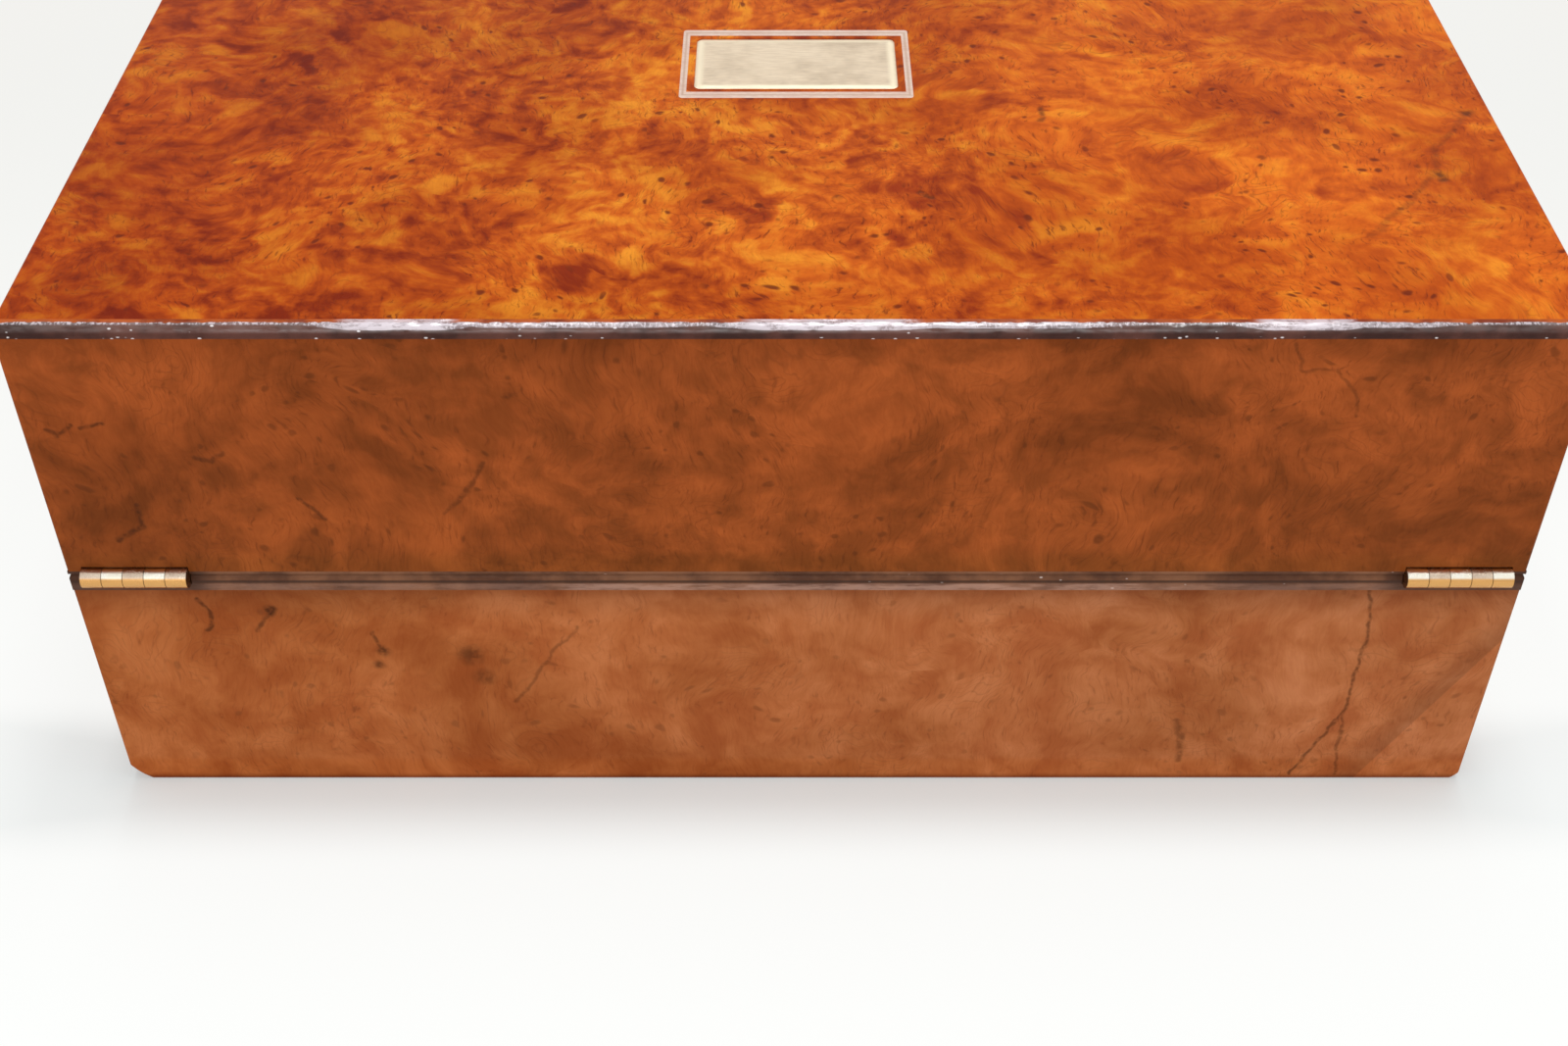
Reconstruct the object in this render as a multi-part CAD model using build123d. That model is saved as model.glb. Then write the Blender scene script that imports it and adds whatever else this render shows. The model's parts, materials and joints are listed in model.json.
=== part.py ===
from build123d import *
import os
from math import atan, degrees, hypot, radians, sin, sqrt

# A burr-walnut writing slope: a rectangular box cut along a slanting seam into a base and a lid.
# Opened flat, the two halves make one sloping desk. Origin at the centre of the underside, +Z up,
# hinges at +Y, lock at -Y, left is -X. Millimetres.

# Case
WIDTH = 350.0            # outside, along X
DEPTH = 238.0            # outside, along Y
HEIGHT = 145.5           # outside, closed
LID_FRONT = 38.0         # height of the lid at the lock side
BOARD = 8.0              # carcass boards
VENEER = 1.0             # burr veneer
BOTTOM_BOARD = 6.0
TOP_BOARD = 6.0
PANEL_REBATE = 4.0       # how far top and bottom boards reach into the walls
CORNER_LAP = 4.0         # how far the side boards reach into the front and back boards
CORNER_ARRIS = 0.7       # rounding of the upright and bottom corners

# Ebonised lippings on the two rims
BASE_LIPPING = 4.6
LID_LIPPING = 1.1
RIM_GAP = 0.3            # between the rims when closed
BACK_ARRIS = 2.2         # worn rounding along the base's back rim
BASE_ARRIS = 1.0         # along its other rims
LID_ARRIS = 0.4

# Worn foot corners at the back: how far each runs along the edges
WEAR_RIGHT = 6.0
WEAR_LEFT = 3.0
WEAR_BULGE = 3.0         # radius of the worn surface over that size

# Ebonised mouldings along the top's front and back edges; at the sides its veneer runs to the edge
MOULDING = 3.0
MOULDING_ROUND = 2.7
MOULDING_PROUD = 0.2
TOP_ARRIS = 0.8          # rounding of the veneer at those two sides

# Name plate and border line, let into the top veneer
INLAY = 0.8
PLATE_WIDTH = 52.5
PLATE_DEPTH = 27.6
PLATE_CORNER = 1.8
PLATE_BEVEL = 1.9
PLATE_BEVEL_DROP = 0.25
BORDER_END_GAP = 1.9     # veneer between the plate and the border, at the ends
BORDER_LONG_GAP = 1.5    # and along the long sides
BORDER_END_LINE = 1.8
BORDER_LONG_LINE = 3.2
BORDER_CORNER = 1.0

# Main butt hinges
HINGE_LENGTH = 25.4
HINGE_INSET = 3.7        # from the side of the case
HINGE_PROUD = 0.7        # how far the pin's axis stands behind the back
HINGE_KNUCKLES = 5
KNUCKLE_RADIUS = 2.5
HINGE_PIN = 1.0          # radius
HINGE_LEAF = 1.3
HINGE_REACH = 8.2        # from the axis to the leaf's edge
HINGE_SCREWS = 3         # in each leaf
LEAF_GAP = 0.4           # between the two leaves when closed

# Clearances
RUNNING = 0.06           # radial, between a pin and what turns on it
KNUCKLE_GAP = 0.12       # between neighbouring knuckles
HINGE_ROOM = 0.4         # wood round a barrel
SEAT_GAP = 0.1           # round a let-in fitting
SCREW_ROOM = 0.05        # round a screw

# Countersunk screws
SCREW_HEAD = 1.9         # radius
SCREW_SHANK = 0.95
SCREW_LENGTH = 8.5
SMALL_HEAD = 1.25
SMALL_SHANK = 0.65
SMALL_LENGTH = 4.0
SLOT_WIDTH = 0.4
SLOT_DEPTH = 0.35

# Writing flaps, the rails that they hinge on and the ledges under them
FLAP_BOARD = 5.8
FLAP_RECESS = 1.8        # from the seam down to a flap's face
FLAP_BORDER = 8.0        # walnut round the leather
FLAP_GAP = 0.6
LEATHER = 0.8
LEDGE = 5.0
LEDGE_SEAT = 0.1
RAIL = 9.0
TAB_WIDTH = 13.0
TAB_LENGTH = 9.0
TAB = 0.6

# Small hinges of the flaps
FLAP_HINGE_LENGTH = 15.0
FLAP_HINGE_INSET = 62.5  # from the side of the case
FLAP_KNUCKLES = 3
FLAP_KNUCKLE_RADIUS = 1.1
FLAP_PIN = 0.5           # radius
FLAP_LEAF = 0.8
FLAP_REACH = 6.5

# Pen tray and inkwell compartments at the high end of the base
TRAY_ZONE = 50.0         # from the front wall to the partition
PARTITION = 4.0
WELL_WIDTH = 50.0
DIVIDER_DROP = 0.6       # from the seam down to a divider's top
FLOOR_BOARD = 5.0
HOUSING = 3.0            # grooves that hold the floor board
TRAY_DROP = 3.0          # from the seam down to the tray's top
TRAY_THICK = 12.0
TRAY_GAP = 0.3
TRAY_END = 9.0           # wood left at each end of the scoop
TRAY_REST = 6.0          # width of the step that carries the tray's end
SCOOP_RADIUS = 28.0
SCOOP_DEPTH = 8.0

# Inkwells
GLASS_SIDE = 43.0
GLASS_HEIGHT = 31.0
GLASS_BEVEL = 3.0
GLASS_FLOOR = 6.0        # glass under the ink
NECK_RADIUS = 12.5
NECK_HEIGHT = 4.0
INK_RADIUS = 9.5
COLLAR_WALL = 1.6
COLLAR_HEIGHT = 5.0
CAP_HEIGHT = 4.0
CAP_WALL = 1.2
CAP_ROUND = 2.4
CAP_GAP = 0.2
CAP_BARREL = 1.5         # radius of the cap's hinge
CAP_PIN = 0.7            # radius
CAP_KNUCKLE = 3.0        # length of each of its three knuckles
CAP_CLEARANCE = 1.5      # from the seam down to the cap

# Lock, link plate and key
LOCK_PLATE = 1.5
LOCK_PLATE_WIDTH = 64.0
SELVEDGE = 7.5           # width of the lock's top plate
LOCK_CASE_WIDTH = 50.0
LOCK_DEPTH = 6.0         # plate and case together
CASE_WALL = 0.8
CASE_MARGIN = 1.5        # from the key's bit to the case's floor
HOOK_SPACING = 22.0
HOOK_WIDTH = 6.0
HOOK_DEPTH = 8.0
HOOK_THICK = 1.6
HOOK_BACK = 2.0          # metal beside the notch that the bolt enters
HOOK_LIP = 1.8           # metal under it
HOOK_NOTCH = 3.0         # its height
HOOK_SWING = 1.2         # how far a hook drifts inward as it rises out of its slot
SLOT_ROOM = 0.4
BOLT_TRAVEL = 4.0
BOLT_THICK = 2.0
BOLT_BAR = 4.0
BOLT_END = 3.0
BOLT_ROOM = 0.3
BOLT_FRONT = 1.1         # from the bolt to the front of its cavity
BOLT_RAIL = 1.5
BOLT_RAIL_WIDTH = 8.0
BOLT_RAIL_PLACE = 17.0   # from the middle of the lock
TALON_DEPTH = 3.0
TALON_WIDTH = 4.0
BIT_REACH = 7.0          # from the key's axis to the end of its bit
BIT_MESH = 2.5           # how far the upright bit reaches into the talon
BIT_WIDTH = 2.4
BIT_LENGTH = 2.4         # along the key
KEY_THROW = 36.0         # turn that throws the bolt, degrees
STEM_RADIUS = 1.9
DRILL_PIN = 1.0          # radius
DRILL_PIN_LENGTH = 4.0
STEM_GAP = 0.3
STEM_OUT = 9.0           # from the front of the box to the bow
STEM_COLLAR = 2.8        # radius
STEM_COLLAR_LENGTH = 1.6
BOW_RADIUS = 8.0
BOW_HOLE = 4.8
BOW_THICK = 2.4
KEYHOLE_ROOM = 0.3
ESCUTCHEON_WIDTH = 13.0
ESCUTCHEON_HEIGHT = 19.0

# Turn buttons that hold the lid's flap
CATCH_INSET = 50.0       # from the side of the case
CATCH_PIVOT = 3.5        # from the inner edge of the rim
CATCH_LENGTH = 9.0       # pivot to tip
CATCH_WIDTH = 5.0
CATCH_THICK = 1.0
CATCH_DROP = 0.4         # from the seam to the button
CATCH_ROOM = 0.3

# Derived places
HALF_W = WIDTH / 2
HALF_D = DEPTH / 2
INNER_X = HALF_W - VENEER - BOARD
INNER_Y = HALF_D - VENEER - BOARD
CORE_X = HALF_W - VENEER
CORE_Y = HALF_D - VENEER
PIVOT_Y = HALF_D + HINGE_PROUD
PIVOT_Z = HEIGHT / 2
RISE = (HEIGHT - LID_FRONT - PIVOT_Z) / (PIVOT_Y + HALF_D)
STRETCH = hypot(1, RISE)
RIM = RIM_GAP / 2
LEAF_DROP = LEAF_GAP / 2
TOP_LEVEL = HEIGHT - VENEER
TOP_UNDERSIDE = TOP_LEVEL - TOP_BOARD
FLAP_UNDERSIDE = FLAP_RECESS + FLAP_BOARD
LEDGE_TOP = FLAP_UNDERSIDE + LEDGE_SEAT
RAIL_FRONT = INNER_Y - RAIL
TRAY_BACK = TRAY_ZONE - INNER_Y
WELL_BACK = TRAY_BACK + PARTITION
DIVIDER_X = INNER_X - WELL_WIDTH
TRAY_X = DIVIDER_X - PARTITION
COLLAR_RADIUS = NECK_RADIUS + SEAT_GAP + COLLAR_WALL
WELL_MIDDLE_X = INNER_X - WELL_WIDTH / 2
WELL_MIDDLE_Y = TRAY_BACK - TRAY_ZONE / 2
CAP_TOP = GLASS_HEIGHT + COLLAR_HEIGHT + CAP_GAP + CAP_HEIGHT
HINGE_START = HALF_W - HINGE_INSET - HINGE_LENGTH
HINGE_STARTS = (-HALF_W + HINGE_INSET, HINGE_START)
SEAM_FRAME = Location((0, PIVOT_Y, PIVOT_Z), (-degrees(atan(RISE)), 0, 0))


def seam(y, drop=0.0):
    # Height of the seam at y, or of the plane this far under it, measured square to it.
    return PIVOT_Z + (PIVOT_Y - y) * RISE - drop * STRETCH


def under(drop):
    # A level for block() that follows the seam; a negative drop is over the seam.
    return lambda y: seam(y, drop)


def along(y):
    # Place in the seam's own frame of the point of the seam at y.
    return (y - PIVOT_Y) * STRETCH


def block(x0, x1, y0, y1, low, high):
    # A board with upright sides. Its underside and top are heights, or levels that follow the seam.
    bottom = low if callable(low) else lambda y: low
    top = high if callable(high) else lambda y: high
    outline = Polyline((y0, bottom(y0)), (y1, bottom(y1)), (y1, top(y1)), (y0, top(y0)), close=True)
    return extrude(Plane.YZ.offset(x0) * make_face(outline), x1 - x0)


def rod_x(radius, x0, x1, y=0.0, z=0.0):
    return Pos((x0 + x1) / 2, y, z) * Rot(0, 90, 0) * Cylinder(radius, x1 - x0)


def rod_y(radius, y0, y1, x=0.0, z=0.0):
    return Pos(x, (y0 + y1) / 2, z) * Rot(90, 0, 0) * Cylinder(radius, y1 - y0)


def at_seam(shape, lid=False):
    # Places a fitting drawn in the seam's frame, on the base's side or turned over to the lid's.
    return SEAM_FRAME * (mirror(shape, Plane.XY) if lid else shape)


def cut_away(shape, cutters):
    for cutter in cutters:
        shape = shape - cutter
    return shape


def group(shapes):
    return Compound([solid for shape in shapes for solid in shape.solids()])


def mitre(side, half_w, half_d, width):
    # The quarter of a mitred frame that one strip fills, as an upright prism.
    corners = [(-half_w, -half_d), (half_w, -half_d), (half_w, half_d), (-half_w, half_d)]
    start = ("front", "right", "back", "left").index(side)
    a, b = corners[start], corners[(start + 1) % 4]
    inner = [(x - width * (1 if x > 0 else -1), y - width * (1 if y > 0 else -1)) for x, y in (b, a)]
    return extrude(make_face(Polyline(a, b, *inner, close=True)), HEIGHT)


def outer_arris(strip, side, top):
    # The long outer edge of a strip, at its top or its underside.
    sign = 1 if side in ("right", "back") else -1
    axis = Axis.X if side in ("left", "right") else Axis.Y
    edges = strip.faces().sort_by(axis)[-1 if sign > 0 else 0].edges()
    longest = edges.sort_by(SortBy.LENGTH)[-2:]
    return longest.sort_by(Axis.Z)[-1 if top else 0]


def frame_strip(side, half_w, half_d, width, low, high, radius, top):
    # One mitred strip of a frame of this width, with its outer arris rounded.
    spans = {
        "front": (-half_w, half_w, -half_d, width - half_d),
        "back": (-half_w, half_w, half_d - width, half_d),
        "left": (-half_w, width - half_w, -half_d, half_d),
        "right": (half_w - width, half_w, -half_d, half_d),
    }
    strip = block(*spans[side], low, high)
    strip = fillet(outer_arris(strip, side, top), radius)
    return strip & mitre(side, half_w, half_d, width)


def wear_tool(side, size):
    # What years of use took off a foot corner at the back: all that lies outside a large ball.
    ball = WEAR_BULGE * size
    inward = (size / sqrt(3) + sqrt(ball**2 - size**2 * 2 / 3)) / sqrt(3)
    cube = 3 * size
    corner = Pos(side * HALF_W, HALF_D, 0) * Box(cube, cube, cube)
    return corner - Pos(side * (HALF_W - inward), HALF_D - inward, inward) * Sphere(ball)


def screw(head, shank, length, room=0.0, slotted=True):
    # A countersunk screw pointing down with its face at the origin, or the hole that takes it.
    head, shank, length = head + room, shank + room, length + room
    sink = head - shank
    solid = Pos(0, 0, -sink / 2) * Cone(shank, head, sink) + Pos(0, 0, -length / 2) * Cylinder(shank, length)
    if slotted:
        solid -= Pos(0, 0, -SLOT_DEPTH / 2) * Box(2 * head, SLOT_WIDTH, SLOT_DEPTH)
    return solid


def large_screw(x, y):
    return Pos(x, y, -LEAF_DROP) * screw(SCREW_HEAD, SCREW_SHANK, SCREW_LENGTH)


def large_hole(x, y):
    return Pos(x, y, -LEAF_DROP) * screw(SCREW_HEAD, SCREW_SHANK, SCREW_LENGTH, SCREW_ROOM, slotted=False)


def small_screw():
    # The screw of the small fittings, and the hole that takes it.
    hole = screw(SMALL_HEAD, SMALL_SHANK, SMALL_LENGTH, SCREW_ROOM, slotted=False)
    return screw(SMALL_HEAD, SMALL_SHANK, SMALL_LENGTH), hole


def hinge_leaf(length, knuckles, own, radius, pin, leaf, reach, drop):
    # One leaf and its knuckles. The barrel lies along X from 0, the leaf runs to -Y under the axis.
    pitch = length / knuckles
    solid = Pos(length / 2, -reach / 2, -drop - leaf / 2) * Box(length, reach, leaf)
    for i in range(1 - own, knuckles, 2):
        solid -= rod_x(radius + KNUCKLE_GAP, i * pitch - KNUCKLE_GAP / 2, (i + 1) * pitch + KNUCKLE_GAP / 2)
    for i in range(own, knuckles, 2):
        start = i * pitch + (KNUCKLE_GAP / 2 if i > 0 else 0)
        end = (i + 1) * pitch - (KNUCKLE_GAP / 2 if i < knuckles - 1 else 0)
        solid += rod_x(radius, start, end)
    return solid - rod_x(pin + RUNNING, -leaf, length + leaf)


def case_boards(low, high):
    # Front, back, left and right boards, the sides housed in the front and back.
    lap = INNER_Y + CORNER_LAP
    left = block(-CORE_X, -INNER_X, -lap, lap, low, high)
    right = block(INNER_X, CORE_X, -lap, lap, low, high)
    front = block(-CORE_X, CORE_X, -CORE_Y, -INNER_Y, low, high) - left - right
    back = block(-CORE_X, CORE_X, INNER_Y, CORE_Y, low, high) - left - right
    return {"front_board": front, "back_board": back, "left_board": left, "right_board": right}


def case_veneers(low, high, foot):
    # Burr veneer on the four walls, with the outer corners eased, and the foot where there is one.
    veneers = {
        "front_veneer": block(-HALF_W, HALF_W, -HALF_D, -CORE_Y, low, high),
        "back_veneer": block(-HALF_W, HALF_W, CORE_Y, HALF_D, low, high),
    }
    for name, outer in (("front_veneer", 0), ("back_veneer", -1)):
        face = veneers[name].faces().sort_by(Axis.Y)[outer]
        corners = face.edges().filter_by(Axis.Z)
        if foot:
            corners += face.edges().sort_by(Axis.Z)[:1]
        veneers[name] = fillet(corners, CORNER_ARRIS)
    for name, x0, x1, outer in (("left_veneer", -HALF_W, -CORE_X, 0), ("right_veneer", CORE_X, HALF_W, -1)):
        slab = block(x0, x1, -CORE_Y, CORE_Y, low, high)
        if foot:
            slab = fillet(slab.faces().sort_by(Axis.X)[outer].edges().sort_by(Axis.Z)[0], CORNER_ARRIS)
        veneers[name] = slab
    return veneers


def main_hinge_fittings():
    # Pockets, screws and leaves of the two butt hinges, in the seam's frame for the base's side.
    row = -(KNUCKLE_RADIUS + HINGE_REACH) / 2
    pockets, screws, holes = [], [], []
    for start in HINGE_STARTS:
        middle = start + HINGE_LENGTH / 2
        depth = LEAF_DROP + HINGE_LEAF
        slot = Box(HINGE_LENGTH + 2 * SEAT_GAP, HINGE_REACH + SEAT_GAP, depth)
        pockets.append(Pos(middle, -(HINGE_REACH + SEAT_GAP) / 2, -depth / 2) * slot)
        pockets.append(rod_x(KNUCKLE_RADIUS + HINGE_ROOM, start - SEAT_GAP, start + HINGE_LENGTH + SEAT_GAP))
        for i in range(HINGE_SCREWS):
            x = start + HINGE_LENGTH * (2 * i + 1) / (2 * HINGE_SCREWS)
            screws.append(large_screw(x, row))
            holes.append(large_hole(x, row))
    return pockets, screws, holes


def main_leaf(start, own, holes):
    leaf = hinge_leaf(
        HINGE_LENGTH, HINGE_KNUCKLES, own, KNUCKLE_RADIUS, HINGE_PIN, HINGE_LEAF, HINGE_REACH, LEAF_DROP
    )
    return cut_away(Pos(start, 0, 0) * leaf, holes)


def flap_hinges():
    # The two small hinges of a flap with their screws and seats, on the base's side of the seam.
    axis_y = along(RAIL_FRONT - FLAP_GAP / 2)
    leaves, pins, screws, seats = [], [], [], []
    for side in (-1, 1):
        start = HALF_W - FLAP_HINGE_INSET - FLAP_HINGE_LENGTH if side > 0 else FLAP_HINGE_INSET - HALF_W
        place = Pos(start, axis_y, -FLAP_RECESS)
        seat = Pos(FLAP_HINGE_LENGTH / 2, 0, -FLAP_LEAF / 2) * Box(
            FLAP_HINGE_LENGTH + 2 * SEAT_GAP, 2 * (FLAP_REACH + SEAT_GAP), FLAP_LEAF
        )
        seat += rod_x(FLAP_KNUCKLE_RADIUS + SEAT_GAP, -SEAT_GAP, FLAP_HINGE_LENGTH + SEAT_GAP)
        seats.append(place * seat)
        pins.append(place * rod_x(FLAP_PIN, 0, FLAP_HINGE_LENGTH))
        for own, turned in ((0, True), (1, False)):
            leaf = hinge_leaf(
                FLAP_HINGE_LENGTH, FLAP_KNUCKLES, own, FLAP_KNUCKLE_RADIUS, FLAP_PIN, FLAP_LEAF, FLAP_REACH, 0
            )
            row = -(FLAP_KNUCKLE_RADIUS + FLAP_REACH) / 2
            for x in (FLAP_HINGE_LENGTH / 4, FLAP_HINGE_LENGTH * 3 / 4):
                small, hole = [Pos(x, row, 0) * shape for shape in small_screw()]
                leaf -= hole
                if turned:
                    small, hole = mirror(small, Plane.XZ), mirror(hole, Plane.XZ)
                screws.append(place * small)
                seats.append(place * hole)
            if turned:
                leaf = mirror(leaf, Plane.XZ)
            leaves.append(place * leaf)
    return leaves + pins, screws, seats


def leather_cover(x, y0, y1):
    # Leather let into a flap, and its pocket, in the seam's frame.
    width, depth = 2 * (x - FLAP_BORDER), (along(y1) - along(y0)) - 2 * FLAP_BORDER
    middle = (along(y0) + along(y1)) / 2
    return Pos(0, middle, -FLAP_RECESS - LEATHER / 2) * Box(width, depth, LEATHER)


def flap_set(front, ledge_front, lid):
    # One writing flap with its leather, pull tab, hinges, screws, rail and ledges.
    x, back = INNER_X - FLAP_GAP, RAIL_FRONT - FLAP_GAP
    sign = -1 if lid else 1
    face, underside, ledge = sign * FLAP_RECESS, sign * FLAP_UNDERSIDE, sign * LEDGE_TOP
    low, high = (face, underside) if lid else (underside, face)
    board = block(-x, x, front, back, under(low), under(high))
    cover = leather_cover(x, front, back)
    hinges, screws, seats = flap_hinges()
    tab_y = along(front) + TAB_LENGTH / 2
    tab = Pos(0, tab_y, -FLAP_RECESS + TAB / 2) * Box(TAB_WIDTH, TAB_LENGTH, TAB)
    tab = fillet(tab.edges().filter_by(Axis.Z).group_by(Axis.Y)[-1], TAB_WIDTH / 3)
    placed = [at_seam(seat, lid) for seat in seats]
    far = sign * (LEDGE_TOP + LEDGE)
    rail_levels = (face, far) if lid else (far, face)
    ledge_levels = (ledge, far) if lid else (far, ledge)
    rail = block(-INNER_X, INNER_X, RAIL_FRONT, INNER_Y, under(rail_levels[0]), under(rail_levels[1]))
    levels = (under(ledge_levels[0]), under(ledge_levels[1]))
    ledges = [cut_away(rail, placed)]
    ledges.append(block(-INNER_X, LEDGE - INNER_X, ledge_front, RAIL_FRONT, *levels))
    ledges.append(block(INNER_X - LEDGE, INNER_X, ledge_front, RAIL_FRONT, *levels))
    if lid:
        inner = INNER_X - LEDGE
        ledges.append(block(-inner, inner, -INNER_Y, LEDGE - INNER_Y, *levels))
    return {
        "flap_board": cut_away(board - at_seam(cover, lid), placed),
        "flap_leather": group([at_seam(cover, lid), at_seam(tab, lid)]),
        "flap_ledges": group(ledges),
        "flap_hinges": group(at_seam(piece, lid) for piece in hinges),
        "flap_screws": group(at_seam(piece, lid) for piece in screws),
    }


def inkwell():
    # Square glass pot with a hinged brass cap, standing at the origin.
    glass = Pos(0, 0, GLASS_HEIGHT / 2) * Box(GLASS_SIDE, GLASS_SIDE, GLASS_HEIGHT)
    glass = chamfer(glass.edges().filter_by(Axis.Z), GLASS_BEVEL)
    glass = chamfer(glass.faces().sort_by(Axis.Z)[-1].edges(), GLASS_BEVEL / 2)
    glass += Pos(0, 0, GLASS_HEIGHT + NECK_HEIGHT / 2) * Cylinder(NECK_RADIUS, NECK_HEIGHT)
    ink = GLASS_HEIGHT + NECK_HEIGHT - GLASS_FLOOR
    glass -= Pos(0, 0, GLASS_FLOOR + ink / 2) * Cylinder(INK_RADIUS, ink)

    joint = GLASS_HEIGHT + COLLAR_HEIGHT
    collar = Pos(0, 0, joint - COLLAR_HEIGHT / 2) * Cylinder(COLLAR_RADIUS, COLLAR_HEIGHT)
    collar -= Pos(0, 0, joint - COLLAR_HEIGHT / 2) * Cylinder(NECK_RADIUS + SEAT_GAP, COLLAR_HEIGHT)
    cap_low = joint + CAP_GAP
    cap = Pos(0, 0, cap_low + CAP_HEIGHT / 2) * Cylinder(COLLAR_RADIUS, CAP_HEIGHT)
    cap = fillet(cap.faces().sort_by(Axis.Z)[-1].edges(), CAP_ROUND)
    hollow = CAP_HEIGHT - CAP_WALL
    cap -= Pos(0, 0, cap_low + hollow / 2) * Cylinder(NECK_RADIUS, hollow)

    axis_y, axis_z = -COLLAR_RADIUS - CAP_BARREL - CAP_GAP, joint + CAP_GAP / 2
    half = CAP_KNUCKLE / 2
    reach = COLLAR_WALL / 2 - COLLAR_RADIUS
    collar_lug = rod_x(CAP_BARREL, -half, half, axis_y, axis_z)
    collar_lug += block(-half, half, axis_y, reach, axis_z - CAP_BARREL, joint)
    for side in (-1, 1):
        x0, x1 = sorted((side * (half + KNUCKLE_GAP), side * (half + CAP_KNUCKLE)))
        cap += rod_x(CAP_BARREL, x0, x1, axis_y, axis_z)
        cap += block(x0, x1, axis_y, reach, cap_low, axis_z + CAP_BARREL)
    bore = rod_x(CAP_PIN + RUNNING, -3 * half - CAP_BARREL, 3 * half + CAP_BARREL, axis_y, axis_z)
    pin = rod_x(CAP_PIN, -3 * half, 3 * half, axis_y, axis_z)
    return glass, collar + collar_lug - bore, cap - bore, pin


# Places of the lock
BOLT_Y = -INNER_Y - LOCK_DEPTH + BOLT_FRONT + BOLT_THICK / 2
LOCK_TOP = seam(BOLT_Y)
HOOK_BOTTOM = LOCK_TOP - HOOK_DEPTH
SPINE_TOP = HOOK_BOTTOM - SLOT_ROOM
SPINE_BOTTOM = SPINE_TOP - BOLT_BAR
KEY_Z = SPINE_BOTTOM + BIT_MESH - BIT_REACH
CASE_BOTTOM = KEY_Z - BIT_REACH - CASE_MARGIN
LOCK_INSIDE = -INNER_Y - LOCK_PLATE
LOCK_OUTSIDE = -INNER_Y - LOCK_DEPTH
LOCK_SCREW_X = (LOCK_PLATE_WIDTH + LOCK_CASE_WIDTH) / 4
LOCK_SCREW_Y = along(-INNER_Y - SELVEDGE / 2)
HOOK_PLACES = (-HOOK_SPACING / 2, HOOK_SPACING / 2)


def keyhole(y0, y1):
    radius, reach = STEM_RADIUS + KEYHOLE_ROOM, BIT_REACH + KEYHOLE_ROOM
    half = BIT_WIDTH / 2 + KEYHOLE_ROOM
    return rod_y(radius, y0, y1, z=KEY_Z) + block(-half, half, y0, y1, KEY_Z - reach, KEY_Z)


def lock_case():
    # Plate, top plate, case walls, rails for the bolt and the drill pin that centres the key.
    half, inner = LOCK_CASE_WIDTH / 2, LOCK_CASE_WIDTH / 2 - CASE_WALL
    top = under(LEAF_DROP + LOCK_PLATE)
    case = block(-half, half, LOCK_INSIDE, -INNER_Y, CASE_BOTTOM, top)
    case += block(-half, half, LOCK_OUTSIDE, -INNER_Y, CASE_BOTTOM, CASE_BOTTOM + CASE_WALL)
    case += block(-half, -inner, LOCK_OUTSIDE, -INNER_Y, CASE_BOTTOM, top)
    case += block(inner, half, LOCK_OUTSIDE, -INNER_Y, CASE_BOTTOM, top)
    plate_half = LOCK_PLATE_WIDTH / 2
    case += block(-plate_half, plate_half, -INNER_Y - SELVEDGE, -INNER_Y, top, under(LEAF_DROP))
    for side in (-1, 1):
        middle = side * BOLT_RAIL_PLACE
        x0, x1 = middle - BOLT_RAIL_WIDTH / 2, middle + BOLT_RAIL_WIDTH / 2
        high = SPINE_BOTTOM - LEDGE_SEAT
        case += block(x0, x1, BOLT_Y - BOLT_THICK / 2, LOCK_INSIDE, high - BOLT_RAIL, high)
    case += rod_y(DRILL_PIN, LOCK_INSIDE - DRILL_PIN_LENGTH, LOCK_INSIDE, z=KEY_Z)
    for x in HOOK_PLACES:
        half_slot = HOOK_WIDTH / 2 + SLOT_ROOM
        y0 = BOLT_Y - HOOK_THICK / 2 - SLOT_ROOM
        y1 = BOLT_Y + HOOK_THICK / 2 + SLOT_ROOM + HOOK_SWING
        case -= block(x - half_slot, x + half_slot, y0, y1, HOOK_BOTTOM, LOCK_TOP + LOCK_PLATE)
    return case


def lock_mortise():
    # What the front wall loses to the lock.
    half = LOCK_CASE_WIDTH / 2 + SEAT_GAP
    plate_half = LOCK_PLATE_WIDTH / 2 + SEAT_GAP
    mortise = block(-half, half, LOCK_OUTSIDE - SEAT_GAP, -INNER_Y, CASE_BOTTOM - SEAT_GAP, under(0))
    seat_y = -INNER_Y - SELVEDGE - SEAT_GAP
    return mortise + block(-plate_half, plate_half, seat_y, -INNER_Y, under(LEAF_DROP + LOCK_PLATE), under(0))


def link_plate():
    # The lid's plate with the two hooks that the bolt catches.
    half = LOCK_PLATE_WIDTH / 2
    low, high = under(-LEAF_DROP), under(-LEAF_DROP - LOCK_PLATE)
    plate = block(-half, half, -INNER_Y - SELVEDGE, -INNER_Y, low, high)
    y0, y1 = BOLT_Y - HOOK_THICK / 2, BOLT_Y + HOOK_THICK / 2
    for x in HOOK_PLACES:
        left, right = x - HOOK_WIDTH / 2, x + HOOK_WIDTH / 2
        hook = block(left, right, y0, y1, HOOK_BOTTOM, under(-LEAF_DROP - LOCK_PLATE / 2))
        sill = HOOK_BOTTOM + HOOK_LIP
        plate += hook - block(left, right - HOOK_BACK, y0, y1, sill, sill + HOOK_NOTCH)
    return plate


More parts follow.
